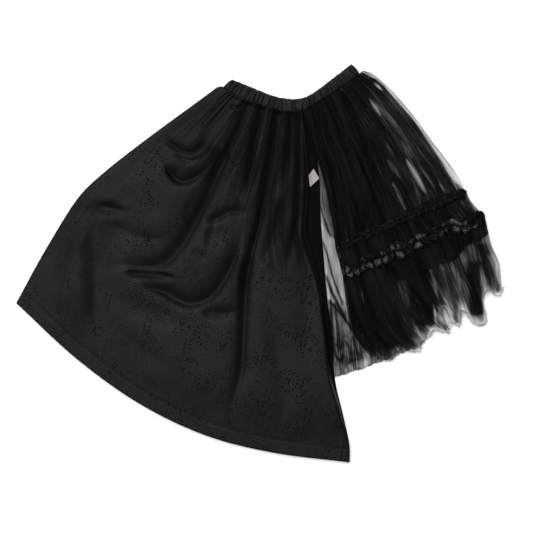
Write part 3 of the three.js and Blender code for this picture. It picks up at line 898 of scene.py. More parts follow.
# %% [markdown]
# ## Paths and Geometry Nodes
#
# The waistband's puckers, the ruffles' frills and the stitches all repeat along a line, so each is
# a small Geometry Nodes tree that takes a path. The tree's inputs are the real sizes. When a tree
# has made its shape, the result is kept as a plain mesh and the modifier is gone.

# %% A path to follow


def path_object(name, line, height=0.0):
    """A path for a tree to follow, from a line on the floor and the height or heights along it."""
    heights = np.broadcast_to(height, len(line))
    curve = bpy.data.curves.new(name, "CURVE")
    curve.dimensions = "3D"
    spline = curve.splines.new("POLY")
    spline.points.add(len(line) - 1)
    rows = np.concatenate([line, heights[:, None], np.ones((len(line), 1))], axis=1)
    spline.points.foreach_set("co", rows.astype(np.float32).ravel())
    path = bpy.data.objects.new(name, curve)
    scene.collection.objects.link(path)
    return path


# %% A tree and what it grows


def geometry_tree(name, **sockets):
    """A new Geometry Nodes tree with the named inputs, such as Half_Width="Float"."""
    tree = bpy.data.node_groups.new(name, "GeometryNodeTree")
    tree.interface.new_socket("Geometry", in_out="OUTPUT", socket_type="NodeSocketGeometry")
    for socket, kind in sockets.items():
        tree.interface.new_socket(socket.replace("_", " "), in_out="INPUT", socket_type="NodeSocket" + kind)
    return tree, tree.nodes.new("NodeGroupInput").outputs


def finish_tree(tree, shape, material):
    """The end of every tree: smooth, realized and given its material."""
    rounded = add(tree, "GeometryNodeSetShadeSmooth", {"Geometry": shape})
    plain = add(tree, "GeometryNodeRealizeInstances", {"Geometry": rounded})
    finished = add(tree, "GeometryNodeSetMaterial", {"Geometry": plain, "Material": material})
    add(tree, "NodeGroupOutput", {"Geometry": finished})
    print("tree:", tree.name, "with", len(tree.nodes), "nodes")


def grow(name, tree, **values):
    """Runs a tree on a new object and keeps what it makes as a plain mesh."""
    piece = bpy.data.objects.new(name, bpy.data.meshes.new(name))
    scene.collection.objects.link(piece)
    modifier = piece.modifiers.new(tree.name, "NODES")
    modifier.node_group = tree
    identifiers = {item.name: item.identifier for item in tree.interface.items_tree}
    for socket, value in values.items():
        modifier[identifiers[socket.replace("_", " ")]] = value
    settle(piece)
    return piece


# %% What the band and the ruffles share
# Both are a flat strip bent along a path, puckered, and rounded off at the two ends.


def flat_strip(tree, width, columns, rows):
    """A flat grid to bend: its mesh, the share along it from 0 to 1, and the place across it."""
    flat = add(tree, "GeometryNodeMeshGrid", {
        "Size X": 1.0, "Size Y": width, "Vertices X": columns, "Vertices Y": rows,
    })
    spot = add(tree, "ShaderNodeSeparateXYZ", [add(tree, "GeometryNodeInputPosition")])
    share = add(tree, MATH, [spot.outputs["X"], 0.5], operation="ADD")
    return flat, share, spot.outputs["Y"]


def sample_path(tree, path, share):
    """Where a path object runs, at each share of its length."""
    info = add(tree, "GeometryNodeObjectInfo", {"Object": path})
    return add(tree, "GeometryNodeSampleCurve", {"Curves": info.outputs["Geometry"], "Factor": share})


def crests(tree, count):
    """Round crests between sharp creases, one for each step of count. Also count in half turns."""
    half_turns = add(tree, MATH, [count, math.pi], operation="MULTIPLY")
    swing = add(tree, MATH, [half_turns], operation="SINE")
    bulge = add(tree, MATH, [swing], operation="ABSOLUTE")
    return half_turns, add(tree, MATH, [bulge, 0.6], operation="POWER")


def round_ends(tree, share, reach):
    """1 along the strip, and a rounded fall to 0 over a short reach at both of its ends."""
    far_end = add(tree, MATH, [1.0, share], operation="SUBTRACT")
    to_end = add(tree, MATH, [share, far_end], operation="MINIMUM")
    opened = add(tree, MAP_RANGE, {"Value": to_end, "From Max": reach})
    return add(tree, MATH, [opened, 0.5], operation="POWER")


# %% [markdown]
# ## Waistband
#
# A casing of plain satin with elastic inside. The elastic pulls the casing up into short even
# puckers, a little over 10 mm apart, and each one scallops the band's top edge. The band is a
# flattened tube between two lines, its top edge and its seam, so the tree bends one grid round
# that tube and then lets the puckers swell it.

# %% Material: plain satin casing
# Polyester satin, woven: a dark ground mottled lighter and darker at random, with a soft gleam that only
# shows on the crests.
casing_satin, tree, skin = new_material("plain satin casing", 0.5, 0.11)
here = add(tree, "ShaderNodeTexCoord").outputs["Object"]
mottle = add(tree, NOISE, {"Vector": here, "Scale": 1 / (3 * MM), "Detail": 2.0})
# The mottle is painted into the colour, and also raises the relief.
tone = add(tree, "ShaderNodeMix", {
    0: mottle, TINT_A: linear("#070709"), TINT_B: linear("#1d1d21"),
}, data_type="RGBA")
relief = add(tree, "ShaderNodeBump", {"Strength": 0.35, "Distance": 0.6 * MM, "Height": mottle})
fill(skin, {"Base Color": tone.outputs[TINT], "Normal": relief})

# %% Tree: puckered band, its tube and its puckers
# Round the tube, a full turn goes from the top edge over the front to the seam and back under.
# Each pucker is a rounded crest between two sharp creases, set a little on the slant.
SLANT = 0.22  # puckers
UNEVEN_STEP = 5.5  # puckers that the uneven spacing moves a crest by, at most
SMALL_CREASES = 15.0  # radians of a wave over each pucker, so a little over two small creases

band_tree, given = geometry_tree(
    "puckered band", Top_Path="Object", Seam_Path="Object", Puckers="Float", Rise="Float", Wall="Float",
    Seed="Float", Satin="Material",
)
flat, share, round_it = flat_strip(band_tree, 1.0, 560, 29)
turn = add(band_tree, MATH, [round_it, math.tau], operation="MULTIPLY")
across = add(band_tree, MATH, [turn], operation="COSINE")
upward = add(band_tree, MATH, [turn], operation="SINE")
open_end = round_ends(band_tree, share, 0.008)

jitter_at = add(band_tree, COMBINE, [share, given["Seed"]])
jitter = add(band_tree, NOISE, {"Vector": jitter_at, "Scale": 9.0, "Detail": 1.0})
uneven_step = add(band_tree, MATH, [jitter, UNEVEN_STEP], operation="MULTIPLY")
counted = add(band_tree, MATH, [share, given["Puckers"], uneven_step], operation="MULTIPLY_ADD")
slanted = add(band_tree, MATH, [across, SLANT, counted], operation="MULTIPLY_ADD")
half_turns, crest = crests(band_tree, slanted)
small_turns = add(band_tree, MATH, [slanted, SMALL_CREASES], operation="MULTIPLY")
small = add(band_tree, MATH, [small_turns], operation="SINE")
wrinkled = add(band_tree, MATH, [small, 0.15, crest], operation="MULTIPLY_ADD")
only_up = add(band_tree, MATH, [upward, 0.0], operation="MAXIMUM")
softened = add(band_tree, MATH, [only_up, 0.5], operation="POWER")
fullness = add(band_tree, NOISE, {"Vector": jitter_at, "Scale": 31.0, "Detail": 2.0})
fuller = add(band_tree, MATH, [fullness, 2.4, -0.25], operation="MULTIPLY_ADD")
puffed = add(band_tree, MATH, [wrinkled, fuller], operation="MULTIPLY")
swell = add(band_tree, MATH, [puffed, softened], operation="MULTIPLY")
rise = add(band_tree, MATH, [swell, given["Rise"]], operation="MULTIPLY")

# %% Tree: puckered band, its section and its place
# A pill section: wide and flat, with round edges. The crests push the top edge out a little.
PILL = 0.4  # the nearer to 0, the flatter the two faces are
SCALLOP = 0.07  # share of the band's depth that a crest pushes its edges out
SPOT_A, SPOT_B, SPOT = 4, 5, 1  # a Mix node's two places, and its output that is a place

size_up = add(band_tree, MATH, [upward], operation="ABSOLUTE")
flat_up = add(band_tree, MATH, [size_up, PILL], operation="POWER")
sign_up = add(band_tree, MATH, [upward], operation="SIGN")
pill = add(band_tree, MATH, [flat_up, sign_up], operation="MULTIPLY")
half_wall = add(band_tree, MATH, [given["Wall"], 0.5], operation="MULTIPLY")
thick = add(band_tree, MATH, [pill, half_wall, rise], operation="MULTIPLY_ADD")
lifted = add(band_tree, MATH, [thick, open_end], operation="MULTIPLY")
scalloped = add(band_tree, MATH, [wrinkled, SCALLOP, 0.445], operation="MULTIPLY_ADD")
narrowed = add(band_tree, MATH, [scalloped, open_end], operation="MULTIPLY")
towards_top = add(band_tree, MATH, [across, narrowed, 0.5], operation="MULTIPLY_ADD")
on_top = sample_path(band_tree, given["Top Path"], share)
on_seam = sample_path(band_tree, given["Seam Path"], share)
between = add(band_tree, "ShaderNodeMix", {
    0: towards_top, SPOT_A: on_seam.outputs["Position"], SPOT_B: on_top.outputs["Position"],
}, data_type="VECTOR")
height = add(band_tree, COMBINE, {"Z": lifted})
place = add(band_tree, VECTOR_MATH, [between.outputs[SPOT], height], operation="ADD")
bent = add(band_tree, "GeometryNodeSetPosition", {"Geometry": flat, "Position": place})
closed = add(band_tree, "GeometryNodeMergeByDistance", {"Geometry": bent, "Distance": 0.01 * MM})
finish_tree(band_tree, closed, given["Satin"])

# %% The two layers of the waistband
# The back layer lies flat on the floor, and peeps out a little above the front.
BAND_PUCKERS = 29
BAND_RISE = 3.6 * MM
BAND_TOP_OUT = 1.2 * MM
BAND_SEAM_IN = 0.9 * MM
BACK_PEEP = 2.6 * MM

for node, underside, peep, rise, seed in (
    ("waistband_front", BAND_FRONT_Z, 0.0, BAND_RISE, 4.1), ("waistband_back", 0.0, BACK_PEEP, 0.0, 9.7),
):
    middle = underside + BAND_WALL / 2
    made = grow(
        node + "_casing", band_tree,
        Top_Path=path_object(node + "_top", beside(waist_top, BAND_TOP_OUT + peep), middle),
        Seam_Path=path_object(node + "_seam", beside(waist_line, -BAND_SEAM_IN), middle),
        Puckers=float(BAND_PUCKERS), Rise=rise, Wall=BAND_WALL, Seed=seed, Satin=casing_satin,
    )
    dress(made, [node])

# %% [markdown]
# ## Tulle
#
# Tulle is nylon net. One layer hardly dims what lies under it. It looks black only where it is
# gathered, because many layers then lie on each other. The holes are about 1 mm, far too fine to
# model, so each sheet of net carries a number at every point that says how many layers are
# gathered there. The finish turns that number into how much light gets through.

# %% Material: nylon tulle
# A matt black net, more or less see-through. The streaks are its pleats, which run down from each
# gathered seam. The real ones are 1 to 2 mm apart, too fine to show, so they are drawn 4.5 mm apart.
# Each one fades over a hand's length.
STREAK_MM = 4.5
STREAK_LENGTH_MM = 110

tulle, tree, skin = new_material("black nylon tulle", 0.7, 0.02)
net_map = add(tree, "ShaderNodeUVMap", uv_map="UVMap")
streak_size = (1 / (STREAK_MM * MM), 1 / (STREAK_LENGTH_MM * MM), 1)
stretched = add(tree, VECTOR_MATH, [net_map, streak_size], operation="MULTIPLY")
pleat = add(tree, NOISE, {"Vector": stretched, "Scale": 1.0, "Detail": 3.0, "Roughness": 0.6})
centred = add(tree, MATH, [pleat, 0.5], operation="SUBTRACT")
folded = add(tree, MATH, [centred], operation="ABSOLUTE")
ridge = add(tree, MAP_RANGE, {"Value": folded, "From Max": 0.2, "To Min": 2.5, "To Max": 0.35})

# Each layer lets the same share of the light through, so the cover grows as 1 - exp(-layers).
layers = add(tree, "ShaderNodeAttribute", attribute_name="net_layers")
depth = add(tree, MATH, [layers.outputs["Fac"], ridge], operation="MULTIPLY")
minus = add(tree, MATH, [depth, -1.0], operation="MULTIPLY")
through = add(tree, MATH, [minus], operation="EXPONENT")
cover = add(tree, MATH, [1.0, through], operation="SUBTRACT")

# Broad soft patches of light show where the gathered net stands up.
broad = add(tree, VECTOR_MATH, [stretched, (0.28, 0.5, 1)], operation="MULTIPLY")
drape = add(tree, NOISE, {"Vector": broad, "Scale": 1.0, "Detail": 4.0, "Roughness": 0.65})
sheen = add(tree, MAP_RANGE, {"Value": drape, "From Min": 0.42, "From Max": 0.68})
tone = add(tree, "ShaderNodeMix", {
    0: sheen, TINT_A: linear("#040405"), TINT_B: linear("#141417"),
}, data_type="RGBA")
fill(skin, {"Base Color": tone.outputs[TINT], "Alpha": cover})
scene.cycles.transparent_max_bounces = 32  # more sheets of net than the usual 8 can lie on each other

# %% Outlines of the tulle half
TULLE_SIDE = [(228, 401), (250, 387), (313, 321), (363, 254), (412, 187)]
TULLE_EDGE = [(217, 403), (258, 372.5), (284, 343), (322, 299), (350, 260), (375, 219), (399, 180)]
TULLE_SLIT = [(96, 290), (102, 250), (119, 215), (130, 185), (142, 132), (152, 76)]
UPPER_RUFFLE = [(168, 35), (226, 61), (311, 97), (389, 132), (432, 150)]
LOWER_RUFFLE = [(181, -22), (232, 2), (291, 24), (349, 50), (388, 73), (420, 78), (471, 97)]
INSET_SLIT = [(166, 3)]
INSET_SIDE = [(440, 133)]
FLOUNCE_SLIT = [(177, -55), (183, -99), (194, -141), (214, -176)]
FLOUNCE_SIDE = [(478, 66), (487, 34), (502, 0)]
FLOUNCE_TONGUES = [
    (244, -196), (260, -202), (273, -201), (281, -195), (290, -183), (298, -178), (311, -183), (323, -184),
    (336, -183), (335, -170), (344, -160), (355, -153), (360, -143), (366, -140), (375, -141), (386, -144),
    (397, -145), (391, -132), (384, -118), (379, -99), (386, -92), (395, -107), (404, -124), (418, -131),
    (419, -116), (421, -98), (430, -101), (441, -117), (453, -128), (472, -126), (470, -103), (465, -78),
    (472, -60), (481, -55), (491, -64), (502, -67), (508, -50),
]
FLOUNCE_HEM = [
    (240, -206), (277, -196), (311, -184), (337, -176), (350, -156), (372, -118), (392, -138), (415, -127),
    (436, -104), (466, -122), (472, -78), (489, -62), (507, -52),
]
UNDERLAYER_SLIT = [(121, 210), (128, 88), (143, -90), (151, -162)]
UNDERLAYER_HEM = [(157, -240), (193, -228), (240, -212), (311, -184), (353, -152), (412, -118), (488, -58)]
UNDERLAYER_SIDE = [
    (228, 397), (250, 380), (308, 315), (356, 250), (404, 184), (430, 142), (462, 92), (470, 64), (479, 32),
    (492, 0),
]
FLOUNCE_DOUBLE = [  # above this line the flounce is doubled by the ruffle's own edge
    (185, -40), (286, -36), (315, -30), (355, -13), (372, -4), (395, 2), (416, 15), (424, 27), (441, 42),
    (460, 48), (478, 62),
]

# %% Slivers of light
# Between pleats, the layers part and leave light slivers. Each is a lens from one end to the other,
# with its greatest width in millimetres and the share of the net that is missing there.
Sliver = namedtuple("Sliver", "start end width clear")
SLIVERS = [
    Sliver((216, 400), (246, 386), 8, 0.8), Sliver((238, 379), (259, 360), 7, 0.92),
    Sliver((262, 372), (270, 362), 3, 0.7), Sliver((229, 346), (257, 305), 10, 0.68),
    Sliver((307, 217), (350, 142), 19, 0.68), Sliver((266, 218), (299, 172), 15, 0.5),
    Sliver((297, 256), (323, 214), 9, 0.45), Sliver((262, 254), (284, 222), 7, 0.35),
    Sliver((374, 170), (394, 142), 7, 0.5), Sliver((278, 172), (312, 94), 12, 0.5),
    Sliver((322, 170), (341, 114), 9, 0.5), Sliver((275, 170), (283, 156), 4, 0.7),
    Sliver((239, 109), (262, 80), 4, 0.4), Sliver((236, 128), (243, 80), 4, 0.35),
    Sliver((330, 205), (366, 160), 8, 0.35), Sliver((215, 250), (262, 175), 4, 0.25),
    Sliver((250, 285), (285, 240), 6, 0.32), Sliver((262, 320), (300, 275), 6, 0.28),
    Sliver((286, -28), (303, -84), 8, 0.4), Sliver((293, -20), (311, -106), 34, 0.5),
    Sliver((322, -44), (332, -92), 4, 0.4), Sliver((386, -88), (408, -130), 18, 0.7),
    Sliver((366, -98), (386, -142), 14, 0.6), Sliver((300, -42), (322, -120), 8, 0.35),
    Sliver((316, -112), (338, -158), 9, 0.6), Sliver((357, -12), (374, -80), 15, 0.4),
    Sliver((360, -28), (373, -66), 6, 0.4), Sliver((378, 0), (398, -60), 12, 0.3),
    Sliver((400, 6), (412, -32), 8, 0.55), Sliver((413, -8), (421, -62), 5, 0.5),
    Sliver((421, 24), (436, -22), 9, 0.4), Sliver((444, 46), (455, 0), 7, 0.45),
    Sliver((462, -4), (473, -66), 17, 0.55), Sliver((364, -84), (370, -140), 7, 0.8),
    Sliver((385, -72), (410, -116), 13, 0.5), Sliver((418, -74), (441, -110), 9, 0.4),
    Sliver((456, 36), (466, -10), 5, 0.5),
]

# %% Strands of folded net
# The opposite of a sliver: a line along which the net is folded over and lies in extra layers.
Strand = namedtuple("Strand", "width layers line")
WEDGE_STRANDS = [  # edges that are folded over and draw dark lines on the light wedge
    Strand(1.6, 1.0, [(124, 130), (130, 105), (139, 80), (149, 53)]),
    Strand(1.3, 1.2, [(132, 48), (143, 10), (151, -25), (164, -61), (176, -92)]),
    Strand(2.2, 1.3, [(137, -20), (149, -57), (164, -88), (178, -116), (202, -153), (222, -180)]),
    Strand(1.6, 1.0, [(143, -78), (160, -95), (176, -116), (190, -134)]),
    Strand(2.8, 1.2, [(146, -74), (149, -120), (153, -165)]),
    Strand(2.6, 1.1, [(156, -80), (162, -130), (167, -190)]),
    Strand(2.0, 1.2, [(151, -160), (155, -183), (162, -199), (170, -204), (174, -187)]),
    Strand(1.6, 1.0, [(158, -168), (168, -178), (172, -164)]),
    Strand(1.8, 0.8, [(178, -160), (190, -187), (187, -214)]),
    Strand(1.8, 0.8, [(193, -150), (203, -183), (218, -202)]),
    Strand(1.8, 0.8, [(206, -157), (218, -174), (236, -196)]),
    Strand(1.5, 0.7, [(180, -196), (194, -204), (212, -200)]),
]
FLOUNCE_COLUMNS = [  # bunches of pleats that hang from the ruffle and stay nearly solid
    Strand(21, 1.5, [(343, -14), (343, -70), (344, -134)]),
    Strand(12, 1.7, [(446, 6), (450, -50), (455, -112)]),
    Strand(10, 1.1, [(460, 42), (472, 2), (485, -31), (500, -66)]),
    Strand(12, 0.5, [(464, 66), (468, 42), (472, 14)]),
    Strand(4, 0.6, [(368, -70), (373, -120), (393, -143)]),
    Strand(5, 0.35, [(404, -90), (408, -112), (414, -130)]),
]
print("slivers of light:", len(SLIVERS), "strands:", len(WEDGE_STRANDS) + len(FLOUNCE_COLUMNS))

# %% From slivers and strands to layers
SLIVER_BULGE = 0.7  # 1 for a lens with straight sides, less for a rounder one
SLIVER_EDGE = 2.6  # the higher, the crisper the sliver's edge


def open_share(x, y):
    """How much of the net is left at each place, from 1 where it is whole down to 0."""
    left = np.ones(x.shape)
    for sliver in SLIVERS:
        signed, share = nearest_on(smooth_line([sliver.start, sliver.end], 2), x, y)
        bulge = np.clip(1 - np.abs(2 * share - 0.9), 0.04, 1) ** SLIVER_BULGE
        half = 0.5 * sliver.width * MM * bulge
        left = left * (1 - sliver.clear * np.exp(-((np.abs(signed) / half) ** SLIVER_EDGE)))
    return left


def folded_over(strands, x, y):
    """Extra layers along the strands."""
    extra = np.zeros(x.shape)
    for strand in strands:
        signed, share = nearest_on(smooth_line(strand.line, 30), x, y)
        end = smooth(np.minimum(share, 1 - share) / 0.08)
        extra = extra + strand.layers * end * np.exp(-((signed / (strand.width * MM)) ** 2))
    return extra


def inside_of(line, x, y, softness):
    """1 on the waist side of a line that runs to the right, 0 on the other, eased over softness."""
    signed, _ = nearest_on(line, x, y)
    return smooth(0.5 + 0.5 * signed / softness)


# %% Sewn lines of the net
# A sheet starts a hair's breadth below the line that it is sewn to, and ends under the next one.
upper_line = smooth_line(UPPER_RUFFLE)
lower_line = smooth_line(LOWER_RUFFLE)
net_upper = smooth_line([(158, 31), *UPPER_RUFFLE[:-1], (416, 143)])
net_lower = smooth_line([(173, -26), *LOWER_RUFFLE])
net_top = stretch(waist_seam, 0.545, 1)
inset_top = beside(smooth_line([(158, 31), *UPPER_RUFFLE]), -SEAM_GAP)
flounce_top = beside(net_lower, -SEAM_GAP)
flounce_double = smooth_line(FLOUNCE_DOUBLE)
dense_edge = smooth_line([tuple(p / MM) for p in net_top[-1:]] + TULLE_EDGE + [(430, 152)])

# %% Shape of a net sheet
# The net stands up in soft ribs where it is gathered, and the ribs come and go as they run down.
RIB_RISE = 3.2 * MM
SIDE_REACH = 2.5  # how quickly the bends of the two sides die away across the sheet

NET_PARTS = "node lines cells height layers ribs skew rise fringe"
Net = namedtuple("Net", NET_PARTS, defaults=(0.0, RIB_RISE, None))


def net_sheet(net, seed):
    """A sheet of net between four lines. net.layers(u, v, x, y) gives how many are gathered where."""
    u, v = grid(*net.cells)
    plan = patch(*net.lines, reach=SIDE_REACH)(u, v)
    if net.fringe:
        cut = uneven(u * 40, v, 1, seed + 3) + 0.9 * uneven(u * 110, v, 1, seed + 4)
        plan[..., 1] += net.fringe * cut * smooth((v - 0.9) / 0.1)
    x, y = plan[..., 0], plan[..., 1]
    drift = u + net.skew * v + 0.008 * uneven(u * 6, v * 1.4, 1, seed + 31)
    ribs = drift * net.ribs
    sway = uneven(ribs, v * 1.6, 1, seed + 7) + 0.5 * uneven(ribs * 2.7, v * 2.4, 1, seed + 8)
    lift = net.height + net.rise * (0.5 + 0.33 * sway) + 0.3 * MM * uneven(ribs * 7, v * 4, 1, seed + 9)
    parted = 1 - 0.5 * smooth((uneven(ribs * 1.9, v * 3.1, 1, seed + 17) - 0.35) / 0.4)
    density = net.layers(u, v, x, y) * parted * (1 + 0.25 * uneven(ribs * 3.3, v * 4.3, 1, seed + 19))
    top, bottom = net.lines[:2]
    width, length = np.linalg.norm(bottom[-1] - bottom[0]), np.linalg.norm(bottom[0] - top[0])
    cloth_uv = np.stack([drift * width + seed, v * length + seed], axis=-1)
    places = np.concatenate([plan, lift[..., None]], axis=-1)
    return cloth_sheet(net.node + "_net", places, tulle, cloth_uv, None, net_layers=np.maximum(density, 0))


# %% How thickly the front sheets are gathered


def front_layers(u, v, x, y):
    """Thick beside the slit and thinner towards the side."""
    thick = np.interp(u, [0, 0.04, 0.35, 0.55, 0.8, 1], [1.2, 2.4, 1.8, 0.95, 0.6, 0.48])
    near_band = 1 + 1.2 * (1 - smooth(v / 0.35))
    near_ruffle = 1 + mix(0.9, 0.35, smooth((u - 0.4) / 0.2)) * smooth((v - 0.85) / 0.15)
    return thick * near_band * near_ruffle * open_share(x, y)


def inset_layers(u, v, x, y):
    """Between the ruffles the net is sewn down double and little shows through."""
    return np.interp(u, [0, 0.04, 0.8, 1], [0.8, 2.4, 1.5, 0.7]) * open_share(x, y)


def flounce_layers(u, v, x, y):
    """Nearly solid beside the slit, and parted into tongues towards the side."""
    thick = np.interp(u, [0, 0.04, 0.3, 0.4, 0.5, 0.92, 0.95, 1], [0.5, 1.9, 1.8, 1.0, 0.7, 0.6, 0.14, 0.14])
    thick = thick * (1 - 0.5 * (1 - smooth(u / 0.16)) * smooth((v - 0.35) / 0.4))
    middle = smooth((u - 0.1) / 0.1) * (1 - smooth((u - 0.4) / 0.12))
    thick = thick * (1 - 0.45 * smooth((v - 0.4) / 0.4) * middle)
    doubled = 1.8 * inside_of(flounce_double, x, y, 3 * MM)
    ragged = 1 - 0.75 * smooth((v - 0.86) / 0.13)
    columns = folded_over(FLOUNCE_COLUMNS, x, y)
    columns = columns * (1 - 0.5 * smooth((v - 0.92) / 0.08))
    return (thick * ragged + doubled + columns) * open_share(x, y)


# %% How thickly the sheets behind are gathered


def back_layers(u, v, x, y):
    """Gathered inside, with a thin veil of a single layer past the front's edge."""
    signed, _ = nearest_on(dense_edge[::6], x, y)
    ragged = 3 * MM * uneven(x + y, x - y, 22 * MM, 41) + 3 * MM * uneven(x + y, x - y, 7 * MM, 42)
    inner = smooth(0.5 - 0.5 * (signed + ragged) / (6 * MM))
    veil = 0.19 + 0.25 * smooth((u - 0.985) / 0.015)
    thick = np.interp(u, [0, 0.12, 0.3, 0.6, 1], [0.12, 0.6, 0.8, 0.55, 0.5])
    return mix(veil, thick * open_share(x, y), inner)


def back_flounce_layers(u, v, x, y):
    """The back of the flounce and of the inset."""
    thick = np.interp(u, [0, 0.2, 0.45, 0.9, 0.95, 1], [0.5, 0.9, 0.5, 0.35, 0.14, 0.2])
    to_hem = mix(0.6, 0.8, smooth((u - 0.45) / 0.15)) * smooth((v - 0.7) / 0.25)
    return thick * open_share(x, y) * (1 - to_hem)


def under_layers(u, v, x, y):
    """One loose layer, which shows by itself in the wedge beside the slit."""
    high, low = smooth((y / MM - 95) / 40), smooth((-70 - y / MM) / 30)
    crumpled = low * smooth((x / MM - 166) / 8)
    wedge = 0.34 + 0.6 * high + 0.12 * low + 0.2 * crumpled + 0.45 * smooth((-145 - y / MM) / 40)
    wedge = wedge * (1 + 0.35 * crumpled * uneven(x, y, 9 * MM, 51))
    layered = mix(wedge, np.interp(u, [0, 0.2, 0.5, 1], [0.6, 0.7, 0.5, 0.35]), smooth((u - 0.22) / 0.1))
    signed, _ = nearest_on(dense_edge[::6], x, y)
    inner = smooth(0.5 - 0.5 * signed / (3 * MM))
    faded = 1 - 0.9 * smooth((u - 0.3) / 0.2) * smooth((v - 0.55) / 0.4)
    thin_hem = 1 - 0.4 * smooth((v - 0.94) / 0.05) * (1 - smooth((u - 0.5) / 0.2))
    hem = 0.2 * smooth((v - 0.99) / 0.01) * (1 - smooth((u - 0.25) / 0.2))
    strands = folded_over(WEDGE_STRANDS, x, y)
    return (layered * faded * thin_hem * open_share(x, y) + hem + strands * thin_hem) * mix(0.05, 1, inner)


# %% The sheets of tulle
INSET_LINES = (inset_top, net_lower, INSET_SLIT, INSET_SIDE)
FLOUNCE_SIDES = (FLOUNCE_SLIT, FLOUNCE_SIDE)
OUTER_Z = TULLE_FRONT_Z + 0.8 * MM
BACK_RISE = 0.9 * MM
NETS = [
    Net("tulle_front", (net_top, net_upper, TULLE_SLIT, TULLE_EDGE), (170, 130), OUTER_Z, front_layers,
        26, 0.03),
    Net("tulle_inset_front", INSET_LINES, (160, 30), OUTER_Z, inset_layers, 34),
    Net("flounce_front", (flounce_top, smooth_line(FLOUNCE_TONGUES), *FLOUNCE_SIDES), (220, 120),
        TULLE_FRONT_Z + 0.6 * MM, flounce_layers, 24, -0.02, fringe=3.5 * MM),
    Net("tulle_underlayer", (net_top, smooth_line(UNDERLAYER_HEM), UNDERLAYER_SLIT, UNDERLAYER_SIDE),
        (150, 220), UNDERLAYER_Z + 0.2 * MM, under_layers, 18, 0.05, 0.8 * MM, 1.5 * MM),
    Net("tulle_back", (net_top, upper_line, UNDERLAYER_SLIT[:2], TULLE_SIDE), (150, 110), TULLE_BACK_Z,
        back_layers, 20, -0.06, BACK_RISE),
    Net("tulle_inset_back", INSET_LINES, (120, 24), TULLE_BACK_Z, back_flounce_layers, 28, 0.0, BACK_RISE),
    Net("flounce_back", (flounce_top, smooth_line(FLOUNCE_HEM), *FLOUNCE_SIDES), (170, 90), TULLE_BACK_Z,
        back_flounce_layers, 22, 0.04, BACK_RISE, 4 * MM),
]
for number, net in enumerate(NETS):
    dress(net_sheet(net, 2 * number), [net.node])

# %% [markdown]
# ## Ruffles
#
# Each ruffle is a strip gathered along its middle by a running stitch, so both its edges stand up
# in lobes. The upper one is cut from the net itself and stays dull. The lower one is a satin strip,
# and its lobes catch the light. The lobes could be sculpted one by one, but a rule with some chance
# in it makes all four ruffles. The tree lays a flat grid along a path and then frills it: lobes grow
# away from the gather line, lean along it, and never repeat exactly.

# %% Materials: satin strip and gathered net
# The tree marks each puff with how fully it catches the light, from 0 in the gaps to 1.


def ruffle_cloth(name, gap, crest, fleck_mm, puff_share, dullest, brightest):
    """Cloth that is nearly black in the gaps and has a soft light on the full puffs.

    What lights it is part fleck and part puff. It is black up to dullest and fully lit at brightest."""
    cloth, tree, skin = new_material(name, 0.6, 0.03)
    here = add(tree, "ShaderNodeTexCoord").outputs["Object"]
    fleck = add(tree, NOISE, {"Vector": here, "Scale": 1 / (fleck_mm * MM), "Detail": 3.0})
    full = add(tree, "ShaderNodeAttribute", attribute_name="puff_light")
    puffs = add(tree, MATH, [full.outputs["Fac"], puff_share], operation="MULTIPLY")
    lit = add(tree, MATH, [fleck, 3.2, puffs], operation="MULTIPLY_ADD")
    share = add(tree, MAP_RANGE, {"Value": lit, "From Min": dullest, "From Max": brightest})
    tone = add(tree, "ShaderNodeMix", {
        0: share, TINT_A: linear(gap), TINT_B: linear(crest),
    }, data_type="RGBA")
    fill(skin, {"Base Color": tone.outputs[TINT]})
    return cloth


ruffle_satin = ruffle_cloth("satin ruffle strip", "#050506", "#4a4a50", 3.5, 1.3, 1.9, 3.1)
ruched_net = ruffle_cloth("tightly gathered net", "#070707", "#27272a", 5, 0.3, 1.75, 2.6)

# %% Tree: gathered ruffle, where its puffs are
# The gather line wanders between the edges. The puffs on one side of it aren't the mirror of the
# other side's. Part of the way along, they are crowded into narrow pleats.
CROWDED_PART = (0.66, 0.75)  # shares of the length between which the pleats crowd
STAGGER = 0.4  # puffs by which the two sides are out of step

ruffle_tree, given = geometry_tree(
    "gathered ruffle", Path="Object", Length="Float", Half_Width="Float", Pitch="Float", Rise="Float",
    Unevenness="Float", Crowded="Float", Bunching="Float", Seed="Float", Cloth="Material",
)
flat, share, side = flat_strip(ruffle_tree, 2.0, 420, 21)
run = add(ruffle_tree, MATH, [share, given["Length"]], operation="MULTIPLY")
lobes = add(ruffle_tree, MATH, [run, given["Pitch"]], operation="DIVIDE")
meander_at = add(ruffle_tree, COMBINE, [lobes, 3.7, given["Seed"]])
meander = add(ruffle_tree, NOISE, {"Vector": meander_at, "Scale": 0.45, "Detail": 1.0})
off_line = add(ruffle_tree, MATH, [meander, 1.6, -0.8], operation="MULTIPLY_ADD")
from_line = add(ruffle_tree, MATH, [side, off_line], operation="ADD")
edge = add(ruffle_tree, MATH, [from_line], operation="ABSOLUTE")
which = add(ruffle_tree, MATH, [from_line, 0.0], operation="GREATER_THAN")
apart = add(ruffle_tree, MATH, [which, 7.3, given["Seed"]], operation="MULTIPLY_ADD")
noise_at = add(ruffle_tree, COMBINE, [lobes, apart, given["Seed"]])
noise = add(ruffle_tree, NOISE, {"Vector": noise_at, "Scale": 0.5, "Detail": 1.0})
crowding = add(ruffle_tree, MAP_RANGE, {
    "Value": share, "From Min": CROWDED_PART[0], "From Max": CROWDED_PART[1], "To Max": given["Crowded"],
}, interpolation_type="SMOOTHSTEP")
crowded = add(ruffle_tree, MATH, [lobes, crowding], operation="ADD")
wandered = add(ruffle_tree, MATH, [noise, given["Unevenness"], crowded], operation="MULTIPLY_ADD")
staggered = add(ruffle_tree, MATH, [which, STAGGER, wandered], operation="MULTIPLY_ADD")
half_turns, crest = crests(ruffle_tree, staggered)
